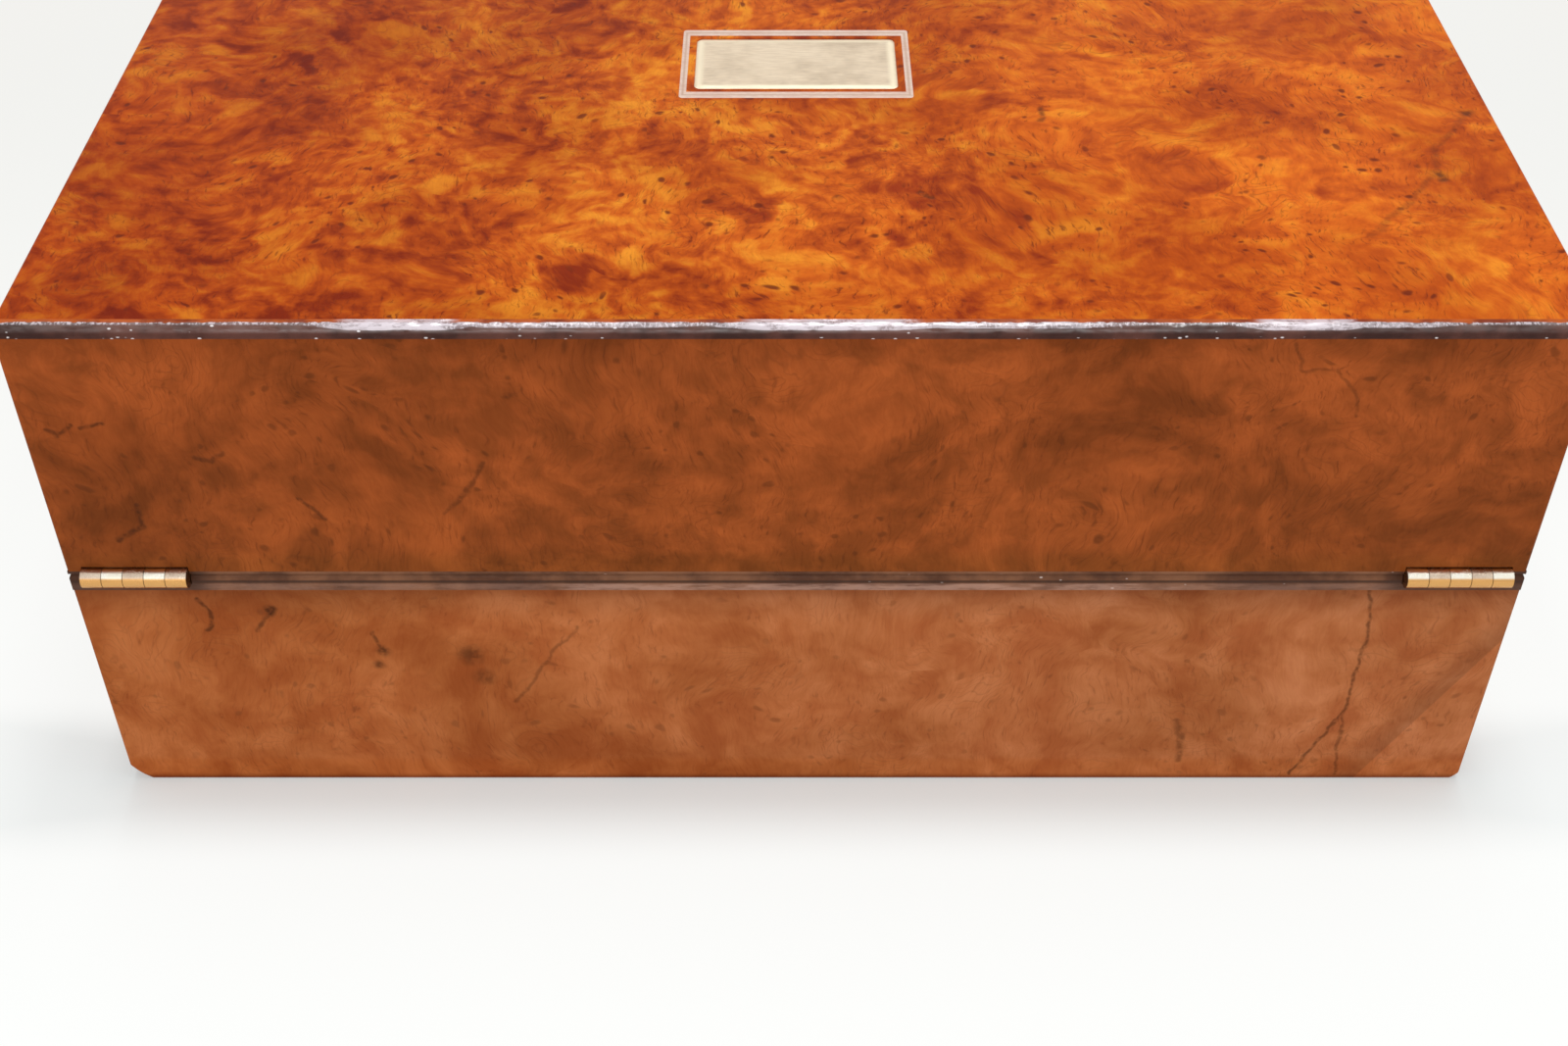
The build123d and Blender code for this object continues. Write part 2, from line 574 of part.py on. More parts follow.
def lock_bolt():
    # A bar with a window round each hook, a tongue beside it, and a talon for the key's bit.
    y0, y1 = BOLT_Y - BOLT_THICK / 2, BOLT_Y + BOLT_THICK / 2
    lead = HOOK_WIDTH / 2 + BOLT_ROOM
    left = HOOK_PLACES[0] - lead - BOLT_TRAVEL - BOLT_END
    right = HOOK_PLACES[-1] + lead + BOLT_END
    bar_top = seam(BOLT_Y, LEAF_DROP + LOCK_PLATE) - BOLT_ROOM - BOLT_THICK * RISE / 2
    bolt = block(left, right, y0, y1, SPINE_BOTTOM, bar_top)
    for x in HOOK_PLACES:
        window = block(x - lead - BOLT_TRAVEL, x + lead, y0, y1, SPINE_TOP, bar_top)
        low = HOOK_BOTTOM + HOOK_LIP + BOLT_ROOM
        high = HOOK_BOTTOM + HOOK_LIP + HOOK_NOTCH - BOLT_ROOM
        bolt -= window - block(x - lead - BOLT_TRAVEL, x - lead, y0, y1, low, high)
    middle = -BOLT_TRAVEL / 2
    x0, x1 = middle - TALON_WIDTH / 2, middle + TALON_WIDTH / 2
    return bolt - block(x0, x1, y0, y1, SPINE_BOTTOM, SPINE_BOTTOM + TALON_DEPTH)


def key():
    # A pipe key, drawn with its bit upright and then turned to where it meets the bolt.
    inner_end, outer_end = LOCK_INSIDE - STEM_GAP, -HALF_D - STEM_OUT
    solid = rod_y(STEM_RADIUS, outer_end, inner_end)
    solid += rod_y(STEM_COLLAR, outer_end, outer_end + STEM_COLLAR_LENGTH)
    bow_y = outer_end - BOW_RADIUS + (BOW_RADIUS - BOW_HOLE) / 2
    bow = rod_x(BOW_RADIUS, -BOW_THICK / 2, BOW_THICK / 2, bow_y)
    bow -= rod_x(BOW_HOLE, -BOW_THICK, BOW_THICK, bow_y)
    solid += fillet(bow.edges(), BOW_THICK / 4)
    half = BIT_WIDTH / 2
    solid += block(-half, half, BOLT_Y - BIT_LENGTH / 2, BOLT_Y + BIT_LENGTH / 2, 0, BIT_REACH)
    drilled = LOCK_INSIDE - DRILL_PIN_LENGTH - STEM_GAP
    solid -= rod_y(DRILL_PIN + RUNNING, drilled, inner_end)
    return Pos(0, 0, KEY_Z) * Rot(0, -KEY_THROW / 2, 0) * solid


def catch(side):
    # A turn button on the lid's front rim, its pocket, its screw and the screw's hole in the rim.
    pivot = Pos(side * (HALF_W - CATCH_INSET), along(-INNER_Y - CATCH_PIVOT), -CATCH_DROP)
    half, tip = CATCH_WIDTH / 2, CATCH_LENGTH - CATCH_WIDTH / 2
    outline = Circle(half) + Pos(0, tip / 2) * Rectangle(CATCH_WIDTH, tip) + Pos(0, tip) * Circle(half)
    button = Pos(0, 0, -CATCH_THICK) * extrude(outline, CATCH_THICK)
    button -= screw(SMALL_HEAD, SMALL_SHANK, SMALL_LENGTH, RUNNING, slotted=False)
    sweep, margin = CATCH_LENGTH + CATCH_ROOM, half + CATCH_ROOM
    middle = (sweep - margin) / 2
    quarter = Circle(sweep) & Pos(side * middle, middle) * Rectangle(sweep + margin, sweep + margin)
    depth = CATCH_THICK + SEAT_GAP
    pocket = Pos(0, 0, -depth) * extrude(quarter, depth + CATCH_DROP)
    fixing, hole = small_screw()
    return [at_seam(pivot * shape, lid=True) for shape in (button, pocket, fixing, hole)]


parts = {}
pockets, hinge_screws, hinge_holes = main_hinge_fittings()
pin_starts = {"left": HINGE_STARTS[0], "right": HINGE_STARTS[1]}
lock_screws = [large_screw(side * LOCK_SCREW_X, LOCK_SCREW_Y) for side in (-1, 1)]
lock_holes = [large_hole(side * LOCK_SCREW_X, LOCK_SCREW_Y) for side in (-1, 1)]
base_holes = [at_seam(hole) for hole in lock_holes]
lid_holes = [at_seam(hole, lid=True) for hole in lock_holes]

# Base carcass
base_top = under(RIM + BASE_LIPPING)
base_cuts = [at_seam(cutter) for cutter in pockets + hinge_holes]
wear = [wear_tool(1, WEAR_RIGHT), wear_tool(-1, WEAR_LEFT)]
bottom_x, bottom_y = INNER_X + PANEL_REBATE, INNER_Y + PANEL_REBATE
bottom = block(-bottom_x, bottom_x, -bottom_y, bottom_y, 0, BOTTOM_BOARD)
parts["base_bottom_board"] = cut_away(bottom, wear)

well_floor = seam(WELL_MIDDLE_Y + COLLAR_RADIUS, CAP_CLEARANCE) - CAP_TOP
floor_x, floor_y = INNER_X + HOUSING, INNER_Y + HOUSING
tray_floor = block(-floor_x, floor_x, -floor_y, WELL_BACK, well_floor - FLOOR_BOARD, well_floor)
front_cuts = [lock_mortise(), keyhole(-HALF_D, -INNER_Y)] + base_holes
for name, board in case_boards(0, base_top).items():
    cuts = base_cuts + wear + [bottom, tray_floor] + (front_cuts if name == "front_board" else [])
    parts["base_" + name] = cut_away(board, cuts)

shield = Plane.XZ * Ellipse(ESCUTCHEON_WIDTH / 2, ESCUTCHEON_HEIGHT / 2)
escutcheon = Pos(0, -HALF_D, KEY_Z) * extrude(shield, -VENEER)
shield_seat = Plane.XZ * Ellipse(ESCUTCHEON_WIDTH / 2 + SEAT_GAP, ESCUTCHEON_HEIGHT / 2 + SEAT_GAP)
escutcheon_seat = Pos(0, -HALF_D, KEY_Z) * extrude(shield_seat, -VENEER)
for name, veneer in case_veneers(0, base_top, foot=True).items():
    cuts = base_cuts + wear + ([escutcheon_seat] if name == "front_veneer" else [])
    parts["base_" + name] = cut_away(veneer, cuts)
parts["escutcheon"] = escutcheon - keyhole(-HALF_D - VENEER, -INNER_Y)

base_strips = []
for side in ("front", "back", "left", "right"):
    arris = BACK_ARRIS if side == "back" else BASE_ARRIS
    strip = frame_strip(side, HALF_W, HALF_D, BOARD + VENEER, base_top, under(RIM), arris, top=True)
    base_strips.append(cut_away(strip, base_cuts + (front_cuts if side == "front" else [])))
parts["base_rim_lipping"] = group(base_strips)

# Pen tray, inkwell compartments and inkwells
parts["tray_floor"] = tray_floor
parts["well_partition"] = block(-INNER_X, INNER_X, TRAY_BACK, WELL_BACK, well_floor, under(LEDGE_TOP))
tray_bottom = TRAY_DROP + TRAY_THICK
for name, side in (("left_divider", -1), ("right_divider", 1)):
    x0, x1 = sorted((side * TRAY_X, side * DIVIDER_X))
    divider = block(x0, x1, -INNER_Y, TRAY_BACK, well_floor, under(DIVIDER_DROP))
    x0, x1 = sorted((side * (TRAY_X - TRAY_REST), side * TRAY_X))
    parts[name] = divider + block(x0, x1, -INNER_Y, TRAY_BACK, well_floor, under(tray_bottom))
tray_x = TRAY_X - TRAY_GAP
tray_levels = (under(tray_bottom), under(TRAY_DROP))
tray = block(-tray_x, tray_x, TRAY_GAP - INNER_Y, TRAY_BACK - TRAY_GAP, *tray_levels)
scoop_z = SCOOP_RADIUS - SCOOP_DEPTH - TRAY_DROP
scoop = rod_x(SCOOP_RADIUS, TRAY_END - tray_x, tray_x - TRAY_END, along(WELL_MIDDLE_Y), scoop_z)
parts["pen_tray"] = tray - at_seam(scoop)

glass, collar, cap, cap_pin = inkwell()
collars, cap_pins = [], []
for name, side in (("left", -1), ("right", 1)):
    place = Pos(side * WELL_MIDDLE_X, WELL_MIDDLE_Y, well_floor)
    parts[name + "_inkwell"] = place * glass
    parts[name + "_inkwell_cap"] = place * cap
    collars.append(place * collar)
    cap_pins.append(place * cap_pin)
parts["inkwell_collars"] = group(collars)
parts["inkwell_cap_pins"] = group(cap_pins)

# Base writing flap
for name, piece in flap_set(TRAY_BACK + FLAP_GAP / 2, WELL_BACK, lid=False).items():
    parts["base_" + name] = piece

# Lock
parts["lock_case"] = cut_away(lock_case(), base_holes)
parts["lock_bolt"] = lock_bolt()
parts["key"] = key()
parts["lock_link_plate"] = cut_away(link_plate(), lid_holes)

# Main hinges
for name, start in pin_starts.items():
    parts[name + "_hinge_base_leaf"] = at_seam(main_leaf(start, 0, hinge_holes))
    parts[name + "_hinge_lid_leaf"] = at_seam(main_leaf(start, 1, hinge_holes), lid=True)
pins = [rod_x(HINGE_PIN, start, start + HINGE_LENGTH) for start in HINGE_STARTS]
parts["hinge_pins"] = group(at_seam(pin) for pin in pins)
parts["base_screws"] = group(at_seam(piece) for piece in hinge_screws + lock_screws)
parts["lid_screws"] = group(at_seam(piece, lid=True) for piece in hinge_screws + lock_screws)

# Lid carcass
lid_low = under(-RIM - LID_LIPPING)
lid_cuts = [at_seam(cutter, lid=True) for cutter in pockets + hinge_holes]
catches = {"left": catch(-1), "right": catch(1)}
link_half = LOCK_PLATE_WIDTH / 2 + SEAT_GAP
link_y = -INNER_Y - SELVEDGE - SEAT_GAP
link_seat = block(-link_half, link_half, link_y, -INNER_Y, under(0), under(-LEAF_DROP - LOCK_PLATE))
lid_front_cuts = [link_seat] + lid_holes
for button, pocket, fixing, hole in catches.values():
    lid_front_cuts += [pocket, hole]
top_board = block(-bottom_x, bottom_x, -bottom_y, bottom_y, TOP_UNDERSIDE, TOP_LEVEL)
field_y, proud_y = HALF_D - MOULDING, HALF_D + MOULDING_PROUD
mould_low = HEIGHT - MOULDING
mould_strips = {
    "front": block(-HALF_W, HALF_W, -proud_y, -field_y, mould_low, HEIGHT),
    "back": block(-HALF_W, HALF_W, field_y, proud_y, mould_low, HEIGHT),
}
mouldings = [
    fillet(outer_arris(strip, side, top=True), MOULDING_ROUND) for side, strip in mould_strips.items()
]
parts["top_moulding"] = group(mouldings)
parts["lid_top_board"] = top_board
mould_room = list(mould_strips.values())
for name, board in case_boards(lid_low, TOP_LEVEL).items():
    cuts = lid_cuts + [top_board] + mould_room + (lid_front_cuts if name == "front_board" else [])
    parts["lid_" + name] = cut_away(board, cuts)
for name, veneer in case_veneers(lid_low, TOP_LEVEL, foot=False).items():
    parts["lid_" + name] = cut_away(veneer, lid_cuts + mould_room)
lid_strips = []
for side in ("front", "back", "left", "right"):
    strip = frame_strip(side, HALF_W, HALF_D, BOARD + VENEER, under(-RIM), lid_low, LID_ARRIS, top=False)
    lid_strips.append(cut_away(strip, lid_cuts + (lid_front_cuts if side == "front" else [])))
parts["lid_rim_lipping"] = group(lid_strips)

# Top veneer with the name plate and its border let in
inlay_low = HEIGHT - INLAY
plate_edge = HEIGHT - PLATE_BEVEL_DROP
plate_outline = RectangleRounded(PLATE_WIDTH, PLATE_DEPTH, PLATE_CORNER)
plate_body = Pos(0, 0, inlay_low) * extrude(plate_outline, INLAY - PLATE_BEVEL_DROP)
plate_field = RectangleRounded(PLATE_WIDTH - 2 * PLATE_BEVEL, PLATE_DEPTH - 2 * PLATE_BEVEL, PLATE_CORNER / 2)
bevel = loft([Pos(0, 0, plate_edge) * plate_outline, Pos(0, 0, HEIGHT) * plate_field], ruled=True)
parts["name_plate"] = plate_body + bevel
border_inner_x = PLATE_WIDTH + 2 * BORDER_END_GAP
border_inner_y = PLATE_DEPTH + 2 * BORDER_LONG_GAP
border_inner = Rectangle(border_inner_x, border_inner_y)
border_outer = RectangleRounded(
    border_inner_x + 2 * BORDER_END_LINE, border_inner_y + 2 * BORDER_LONG_LINE, BORDER_CORNER
)
border = Pos(0, 0, inlay_low) * extrude(border_outer - border_inner, INLAY)
parts["plate_border"] = border
top_veneer = block(-HALF_W, HALF_W, -field_y, field_y, TOP_LEVEL, HEIGHT)
for outer in (0, -1):
    top_veneer = fillet(top_veneer.faces().sort_by(Axis.X)[outer].edges().sort_by(Axis.Z)[-1], TOP_ARRIS)
plate_seat = Pos(0, 0, inlay_low) * extrude(plate_outline, INLAY)
parts["lid_top_veneer"] = top_veneer - border - plate_seat

# Lid writing flap and its two turn buttons
for name, piece in flap_set(FLAP_GAP - INNER_Y, LEDGE - INNER_Y, lid=True).items():
    parts["lid_" + name] = piece
fixings = []
for name, (button, pocket, fixing, hole) in catches.items():
    parts[name + "_flap_catch"] = button
    fixings.append(fixing)
parts["catch_screws"] = group(fixings)

os.makedirs("parts", exist_ok=True)
for name, shape in parts.items():
    export_step(shape, f"parts/{name}.step")

# What a reader of the model may want to know
key_step = radians(KEY_THROW)
print(f"seam rises {degrees(atan(RISE)):.3f} degrees; hinge axis at y {PIVOT_Y:.2f}, z {PIVOT_Z:.2f}")
print(f"key axis at z {KEY_Z:.3f}; bolt moves {BOLT_TRAVEL / key_step:.5f} mm per radian of the key")
print(f"bit tip travels {2 * BIT_REACH * sin(key_step / 2):.3f} mm; well floor at z {well_floor:.3f}")
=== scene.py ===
import json
import math
import random
import bmesh
import bpy
from mathutils import Matrix, Vector
from mathutils import noise as noiseTools


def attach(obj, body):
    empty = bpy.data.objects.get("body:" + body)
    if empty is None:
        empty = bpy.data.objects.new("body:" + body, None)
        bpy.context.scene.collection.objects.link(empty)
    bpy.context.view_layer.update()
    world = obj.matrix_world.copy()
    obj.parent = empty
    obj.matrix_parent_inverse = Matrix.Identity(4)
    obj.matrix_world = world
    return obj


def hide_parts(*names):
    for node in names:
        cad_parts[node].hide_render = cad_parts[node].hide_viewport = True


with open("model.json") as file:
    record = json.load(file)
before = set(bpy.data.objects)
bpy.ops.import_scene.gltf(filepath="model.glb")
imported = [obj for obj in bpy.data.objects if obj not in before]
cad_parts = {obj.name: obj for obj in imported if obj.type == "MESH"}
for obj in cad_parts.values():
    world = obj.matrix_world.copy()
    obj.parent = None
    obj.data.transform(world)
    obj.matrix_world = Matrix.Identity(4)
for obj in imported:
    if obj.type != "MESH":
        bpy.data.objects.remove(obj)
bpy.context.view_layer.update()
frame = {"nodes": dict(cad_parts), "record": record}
cadNodes = frame["nodes"]
print("frame loaded,", len(cadNodes), "parts")


# Small helpers for node trees

def put(tree, kind, inputs=None, **options):
    made = tree.nodes.new(kind)
    for name, value in options.items():
        setattr(made, name, value)
    for name, value in (inputs or {}).items():
        if isinstance(value, bpy.types.NodeSocket):
            tree.links.new(value, made.inputs[name])
        else:
            made.inputs[name].default_value = value
    return made


def reckon(tree, operation, first, second=0.0, third=0.0):
    given = {0: first, 1: second, 2: third}
    return put(tree, "ShaderNodeMath", given, operation=operation).outputs[0]


def times(tree, first, second):
    return reckon(tree, "MULTIPLY", first, second)


def minus(tree, first, second):
    return reckon(tree, "SUBTRACT", first, second)


def move(tree, operation, first, second=(0, 0, 0)):
    given = {0: first, 1: second}
    return put(tree, "ShaderNodeVectorMath", given, operation=operation).outputs[0]


def scaled(tree, vector, factor):
    return put(tree, "ShaderNodeVectorMath", {0: vector, 3: factor}, operation="SCALE").outputs[0]


def measured(tree, operation, first, second=(0, 0, 0)):
    given = {0: first, 1: second}
    return put(tree, "ShaderNodeVectorMath", given, operation=operation).outputs[1]


def stretch(tree, value, low, high, toLow=0.0, toHigh=1.0):
    given = {0: value, 1: low, 2: high, 3: toLow, 4: toHigh}
    return put(tree, "ShaderNodeMapRange", given, interpolation_type="SMOOTHSTEP").outputs[0]


def tinted(tree, share, first, second, how="MIX"):
    given = {0: share, 6: first, 7: second}
    made = put(tree, "ShaderNodeMix", given, data_type="RGBA", blend_type=how)
    return made.outputs[2]


def axes(tree, vector):
    return put(tree, "ShaderNodeSeparateXYZ", {0: vector}).outputs


def channels(tree, colour):
    return put(tree, "ShaderNodeSeparateColor", {0: colour}).outputs


def fineness(tree, size):
    # a texture's scale for lumps of this width in millimetres, a number or a socket
    return reckon(tree, "DIVIDE", 1.0, size) if isinstance(size, bpy.types.NodeSocket) else 1.0 / size


def noiseNode(tree, place, size, detail=2.0, roughness=0.5):
    given = {"Vector": place, "Scale": fineness(tree, size), "Detail": detail, "Roughness": roughness}
    return put(tree, "ShaderNodeTexNoise", given)


def noise(tree, *given):
    return noiseNode(tree, *given).outputs[0]


def strayed(tree, place, reach, *given):
    # a place that strays with a noise, up to half of the reach each way
    colour = noiseNode(tree, place, *given).outputs["Color"]
    return move(tree, "ADD", place, scaled(tree, move(tree, "SUBTRACT", colour, (0.5, 0.5, 0.5)), reach))


def rgb(red, green, blue):
    # a colour as a picture editor shows it, as the linear value that the shader takes
    def linear(level):
        share = level / 255
        return share / 12.92 if share <= 0.04045 else ((share + 0.055) / 1.055) ** 2.4
    return (linear(red), linear(green), linear(blue), 1.0)


def newGroup(name, takes, gives):
    group = bpy.data.node_groups.new(name, "ShaderNodeTree")
    for label, kind, start in takes:
        made = group.interface.new_socket(label, in_out="INPUT", socket_type="NodeSocket" + kind)
        if start is not None:
            made.default_value = start
    for label, kind in gives:
        group.interface.new_socket(label, in_out="OUTPUT", socket_type="NodeSocket" + kind)
    return group, group.nodes.new("NodeGroupInput").outputs


def closeGroup(group, results):
    put(group, "NodeGroupOutput", results)
    return group


def useGroup(tree, group, inputs):
    return put(tree, "ShaderNodeGroup", inputs, node_tree=group).outputs


def emptyMaterial(name):
    material = bpy.data.materials.new(name)
    material.use_nodes = True
    material.node_tree.nodes.clear()
    return material, material.node_tree


def newMaterial(name):
    # an empty material, its tree and the place on the object in millimetres
    material, tree = emptyMaterial(name)
    place = put(tree, "ShaderNodeTexCoord").outputs["Object"]
    return material, tree, move(tree, "MULTIPLY", place, (1000, 1000, 1000))


def finishMaterial(tree, inputs):
    shader = put(tree, "ShaderNodeBsdfPrincipled", inputs)
    put(tree, "ShaderNodeOutputMaterial", {"Surface": shader.outputs[0]})


def bumped(tree, height, depth, strength=1.0):
    # depth is how high a full step of the height stands, in millimetres
    given = {"Height": height, "Distance": depth / 1000, "Strength": strength}
    return put(tree, "ShaderNodeBump", given).outputs[0]


def newObject(name, data):
    made = bpy.data.objects.new(name, data)
    bpy.context.scene.collection.objects.link(made)
    return made


# Groups that more than one finish uses

burrRule = {
    "driftSize": 60.0,        # widths in millimetres
    "broadSize": 22.0,
    "cloudSize": 45.0,
    "curlSize": 15.0,
    "curlLines": 55.0,        # how close the lines of a curl stand
    "curlPatches": 20.0,
    "eyeFade": -6.0,          # how fast an eye's turn fades from its middle
    "pipStep": 4.5,
    "pipCrowds": 26.0,
    "fibreStretch": (1.5, 0.3, 0.22),
}


def makeBurrFigure():
    # the curls, mottles, eyes and fibres of a burr, turned about the axis across the veneer
    group, given = newGroup(
        "burrFigure",
        [
            ("Place", "Vector", None), ("Axis", "Vector", (0, 0, 1)), ("Seed", "Float", 0.0),
            ("Mottle Size", "Float", 6.0), ("Patch Size", "Float", 9.0), ("Eye Size", "Float", 17.0),
            ("Swirl", "Float", 1.8), ("Drift", "Float", 34.0), ("Ripple", "Float", 4.0),
            ("Broad", "Float", 0.5), ("Ripple Size", "Float", 9.0), ("Facet", "Float", 0.16),
            ("Softness", "Float", 0.8), ("Fine", "Float", 0.54),
        ],
        [
            ("Mottle", "Float"), ("Cloud", "Float"), ("Curl", "Float"), ("Pips", "Float"),
            ("Fibre", "Float"), ("Height", "Float"),
        ],
    )
    seed = put(group, "ShaderNodeCombineXYZ", {0: given["Seed"], 1: given["Seed"], 2: given["Seed"]})
    start = move(group, "ADD", given["Place"], move(group, "MULTIPLY", seed.outputs[0], (317, 173, 531)))
    drifted = strayed(group, start, given["Drift"], burrRule["driftSize"])
    eyes = {"Vector": drifted, "Scale": fineness(group, given["Eye Size"])}
    eyes = put(group, "ShaderNodeTexVoronoi", eyes)
    reach = times(group, eyes.outputs["Distance"], eyes.outputs["Distance"])
    fade = reckon(group, "EXPONENT", times(group, reach, burrRule["eyeFade"]))
    side = minus(group, times(group, channels(group, eyes.outputs["Color"])[0], 2.0), 1.0)
    turned = put(group, "ShaderNodeVectorRotate", {
        "Vector": drifted, "Center": eyes.outputs["Position"], "Axis": given["Axis"],
        "Angle": times(group, times(group, fade, side), given["Swirl"]),
    }).outputs[0]
    curled = strayed(group, turned, given["Ripple"], given["Ripple Size"], 2.5)
    mottle = noise(group, curled, given["Mottle Size"], 5.0, given["Fine"])
    # patches that each lean their own way, as small facets of the figure do
    patchScale = fineness(group, given["Patch Size"])
    patches = put(group, "ShaderNodeTexVoronoi", {
        "Vector": curled, "Scale": patchScale, "Smoothness": given["Softness"]}, feature="SMOOTH_F1")
    lean = scaled(group, move(group, "SUBTRACT", curled, patches.outputs["Position"]), patchScale)
    tilt = move(group, "SUBTRACT", patches.outputs["Color"], (0.5, 0.5, 0.5))
    facet = reckon(group, "MULTIPLY_ADD", measured(group, "DOT_PRODUCT", lean, tilt), 1.3, 0.25)
    facet = reckon(group, "MULTIPLY_ADD", channels(group, patches.outputs["Color"])[2], 0.5, facet)
    mottle = put(group, "ShaderNodeMix", {0: given["Facet"], 2: mottle, 3: facet}).outputs[0]
    broad = noise(group, curled, burrRule["broadSize"])
    broad = reckon(group, "MULTIPLY_ADD", broad, given["Broad"], times(group, given["Broad"], -0.5))
    mottle = reckon(group, "ADD", mottle, broad)
    cloud = noise(group, drifted, burrRule["cloudSize"], 3.0)
    # curls are thin lines of one level, in patches
    level = noise(group, curled, burrRule["curlSize"], 1.5)
    wave = reckon(group, "ABSOLUTE", reckon(group, "SINE", times(group, level, burrRule["curlLines"])))
    line = stretch(group, wave, 0.0, 0.45, 1.0, 0.0)
    where = stretch(group, noise(group, drifted, burrRule["curlPatches"]), 0.45, 0.65)
    curl = times(group, line, where)
    # pips are dark dots and flecks of fibre, in crowds
    dots = put(group, "ShaderNodeTexVoronoi", {"Vector": curled, "Scale": 1 / burrRule["pipStep"]})
    spread = channels(group, dots.outputs["Color"])
    picked = reckon(group, "GREATER_THAN", spread[0], 0.4)
    size = reckon(group, "MULTIPLY_ADD", spread[1], 0.14, 0.02)
    dot = stretch(group, minus(group, dots.outputs["Distance"], size), 0.0, 0.17, 1.0, 0.0)
    crowd = stretch(group, noise(group, drifted, burrRule["pipCrowds"]), 0.38, 0.54)
    pips = times(group, times(group, dot, picked), crowd)
    combed = move(group, "MULTIPLY", curled, burrRule["fibreStretch"])
    fibre = noise(group, combed, 1.0, 3.0, 0.6)
    fleck = times(group, stretch(group, fibre, 0.56, 0.72), crowd)
    pips = reckon(group, "MAXIMUM", pips, times(group, fleck, 0.8))
    height = reckon(group, "MULTIPLY_ADD", mottle, 0.5, times(group, fibre, 0.4))
    height = minus(group, height, times(group, curl, 0.25))
    height = minus(group, height, times(group, pips, 0.35))
    return closeGroup(group, {"Mottle": mottle, "Cloud": cloud, "Curl": curl, "Pips": pips,
                              "Fibre": fibre, "Height": height})


def makeMarkLine():
    # a soft stroke between two points, or a spot where both are the same
    group, given = newGroup(
        "markLine",
        [("Place", "Vector", None), ("Start", "Vector", (0, 0, 0)), ("End", "Vector", (0, 0, 0)),
         ("Width", "Float", 1.0)],
        [("Mask", "Float")],
    )
    run = move(group, "SUBTRACT", given["End"], given["Start"])
    here = move(group, "SUBTRACT", given["Place"], given["Start"])
    share = reckon(group, "DIVIDE", measured(group, "DOT_PRODUCT", here, run),
                   measured(group, "DOT_PRODUCT", run, run))
    share = put(group, "ShaderNodeClamp", {0: share}).outputs[0]
    gap = measured(group, "DISTANCE", here, scaled(group, run, share))
    gap = reckon(group, "DIVIDE", gap, given["Width"])
    return closeGroup(group, {"Mask": stretch(group, gap, 0.15, 1.0, 1.0, 0.0)})


def makeScuffs():
    # fine scratches and rubbed patches, for roughness and a little height
    group, given = newGroup(
        "scuffs", [("Place", "Vector", None), ("Size", "Float", 12.0)],
        [("Rubbed", "Float"), ("Scratch", "Float")],
    )
    rubbed = noise(group, given["Place"], given["Size"], 4.0, 0.6)
    lean = move(group, "MULTIPLY", given["Place"], (0.12, 1.9, 2.3))
    thin = noise(group, lean, 1.0)
    ridge = reckon(group, "ABSOLUTE", minus(group, thin, 0.5))
    scratch = stretch(group, ridge, 0.0, 0.02, 1.0, 0.0)
    return closeGroup(group, {"Rubbed": rubbed, "Scratch": scratch})


burrFigure = makeBurrFigure()
markLine = makeMarkLine()
scuffs = makeScuffs()


def strokes(tree, place, marks):
    # every mark as one mask: each is a run of points, a width and a strength
    found = None
    for points, width, strength in marks:
        for start, end in zip(points, points[1:] or points):
            given = {"Place": place, "Start": start, "End": end, "Width": width}
            mask = times(tree, useGroup(tree, markLine, given)["Mask"], strength)
            found = mask if found is None else reckon(tree, "MAXIMUM", found, mask)
    return found


# Burr walnut veneer

veneerLook = {
    "top": {
        "figure": {
            "Seed": 1.7, "Axis": (0, 0, 1), "Mottle Size": 5.0, "Patch Size": 12.0, "Eye Size": 15.0,
            "Swirl": 1.0, "Ripple": 2.4, "Ripple Size": 4.0, "Facet": 0.24, "Softness": 0.4, "Broad": 0.42,
            "Fine": 0.52,
        },
        "contrast": 0.7, "deep": rgb(106, 35, 12), "dark": rgb(160, 55, 14),
        "middle": rgb(225, 107, 25), "light": rgb(255, 162, 45),
        "cloud": rgb(222, 204, 178), "roughness": 0.3, "pips": 0.85, "curl": 0.34,
        "calm": (40.0, -120.0, 0.4),   # from and to along X, and the share by which it grows quieter
    },
    "lid": {
        "figure": {
            "Seed": 4.2, "Axis": (0, 1, 0), "Mottle Size": 8.0, "Patch Size": 16.0, "Eye Size": 21.0,
            "Swirl": 0.9, "Ripple": 4.0, "Ripple Size": 6.0, "Facet": 0.14, "Softness": 0.8, "Broad": 0.5,
            "Fine": 0.54,
        },
        "contrast": 0.9, "deep": rgb(94, 48, 22), "dark": rgb(156, 79, 34),
        "middle": rgb(180, 91, 41), "light": rgb(200, 102, 47),
        "cloud": rgb(222, 222, 218), "roughness": 0.34, "pips": 0.5, "curl": 0.22,
        "calm": None,
    },
    "base": {
        "figure": {
            "Seed": 7.9, "Axis": (0, 1, 0), "Mottle Size": 10.0, "Patch Size": 20.0, "Eye Size": 26.0,
            "Swirl": 0.9, "Ripple": 4.0, "Ripple Size": 6.0, "Facet": 0.14, "Softness": 0.8, "Broad": 0.35,
            "Fine": 0.52,
        },
        # lighter and paler than the lid's back: painted light, and fading
        "contrast": 0.9, "deep": rgb(112, 62, 34), "dark": rgb(192, 109, 62),
        "middle": rgb(208, 127, 77), "light": rgb(222, 142, 92),
        "cloud": rgb(232, 226, 214), "roughness": 0.4, "pips": 0.36, "curl": 0.18,
        "calm": None,
    },
}
veneerFinish = {
    "mark": rgb(76, 40, 20),
    "markStray": 3.0,         # how far a mark strays, in millimetres
    "thread": 0.14,
    "wearSize": 25.0,
    "ior": 1.1,
    "coat": 0.03,
    "coatRoughness": 0.1,
    "relief": 0.12,
}

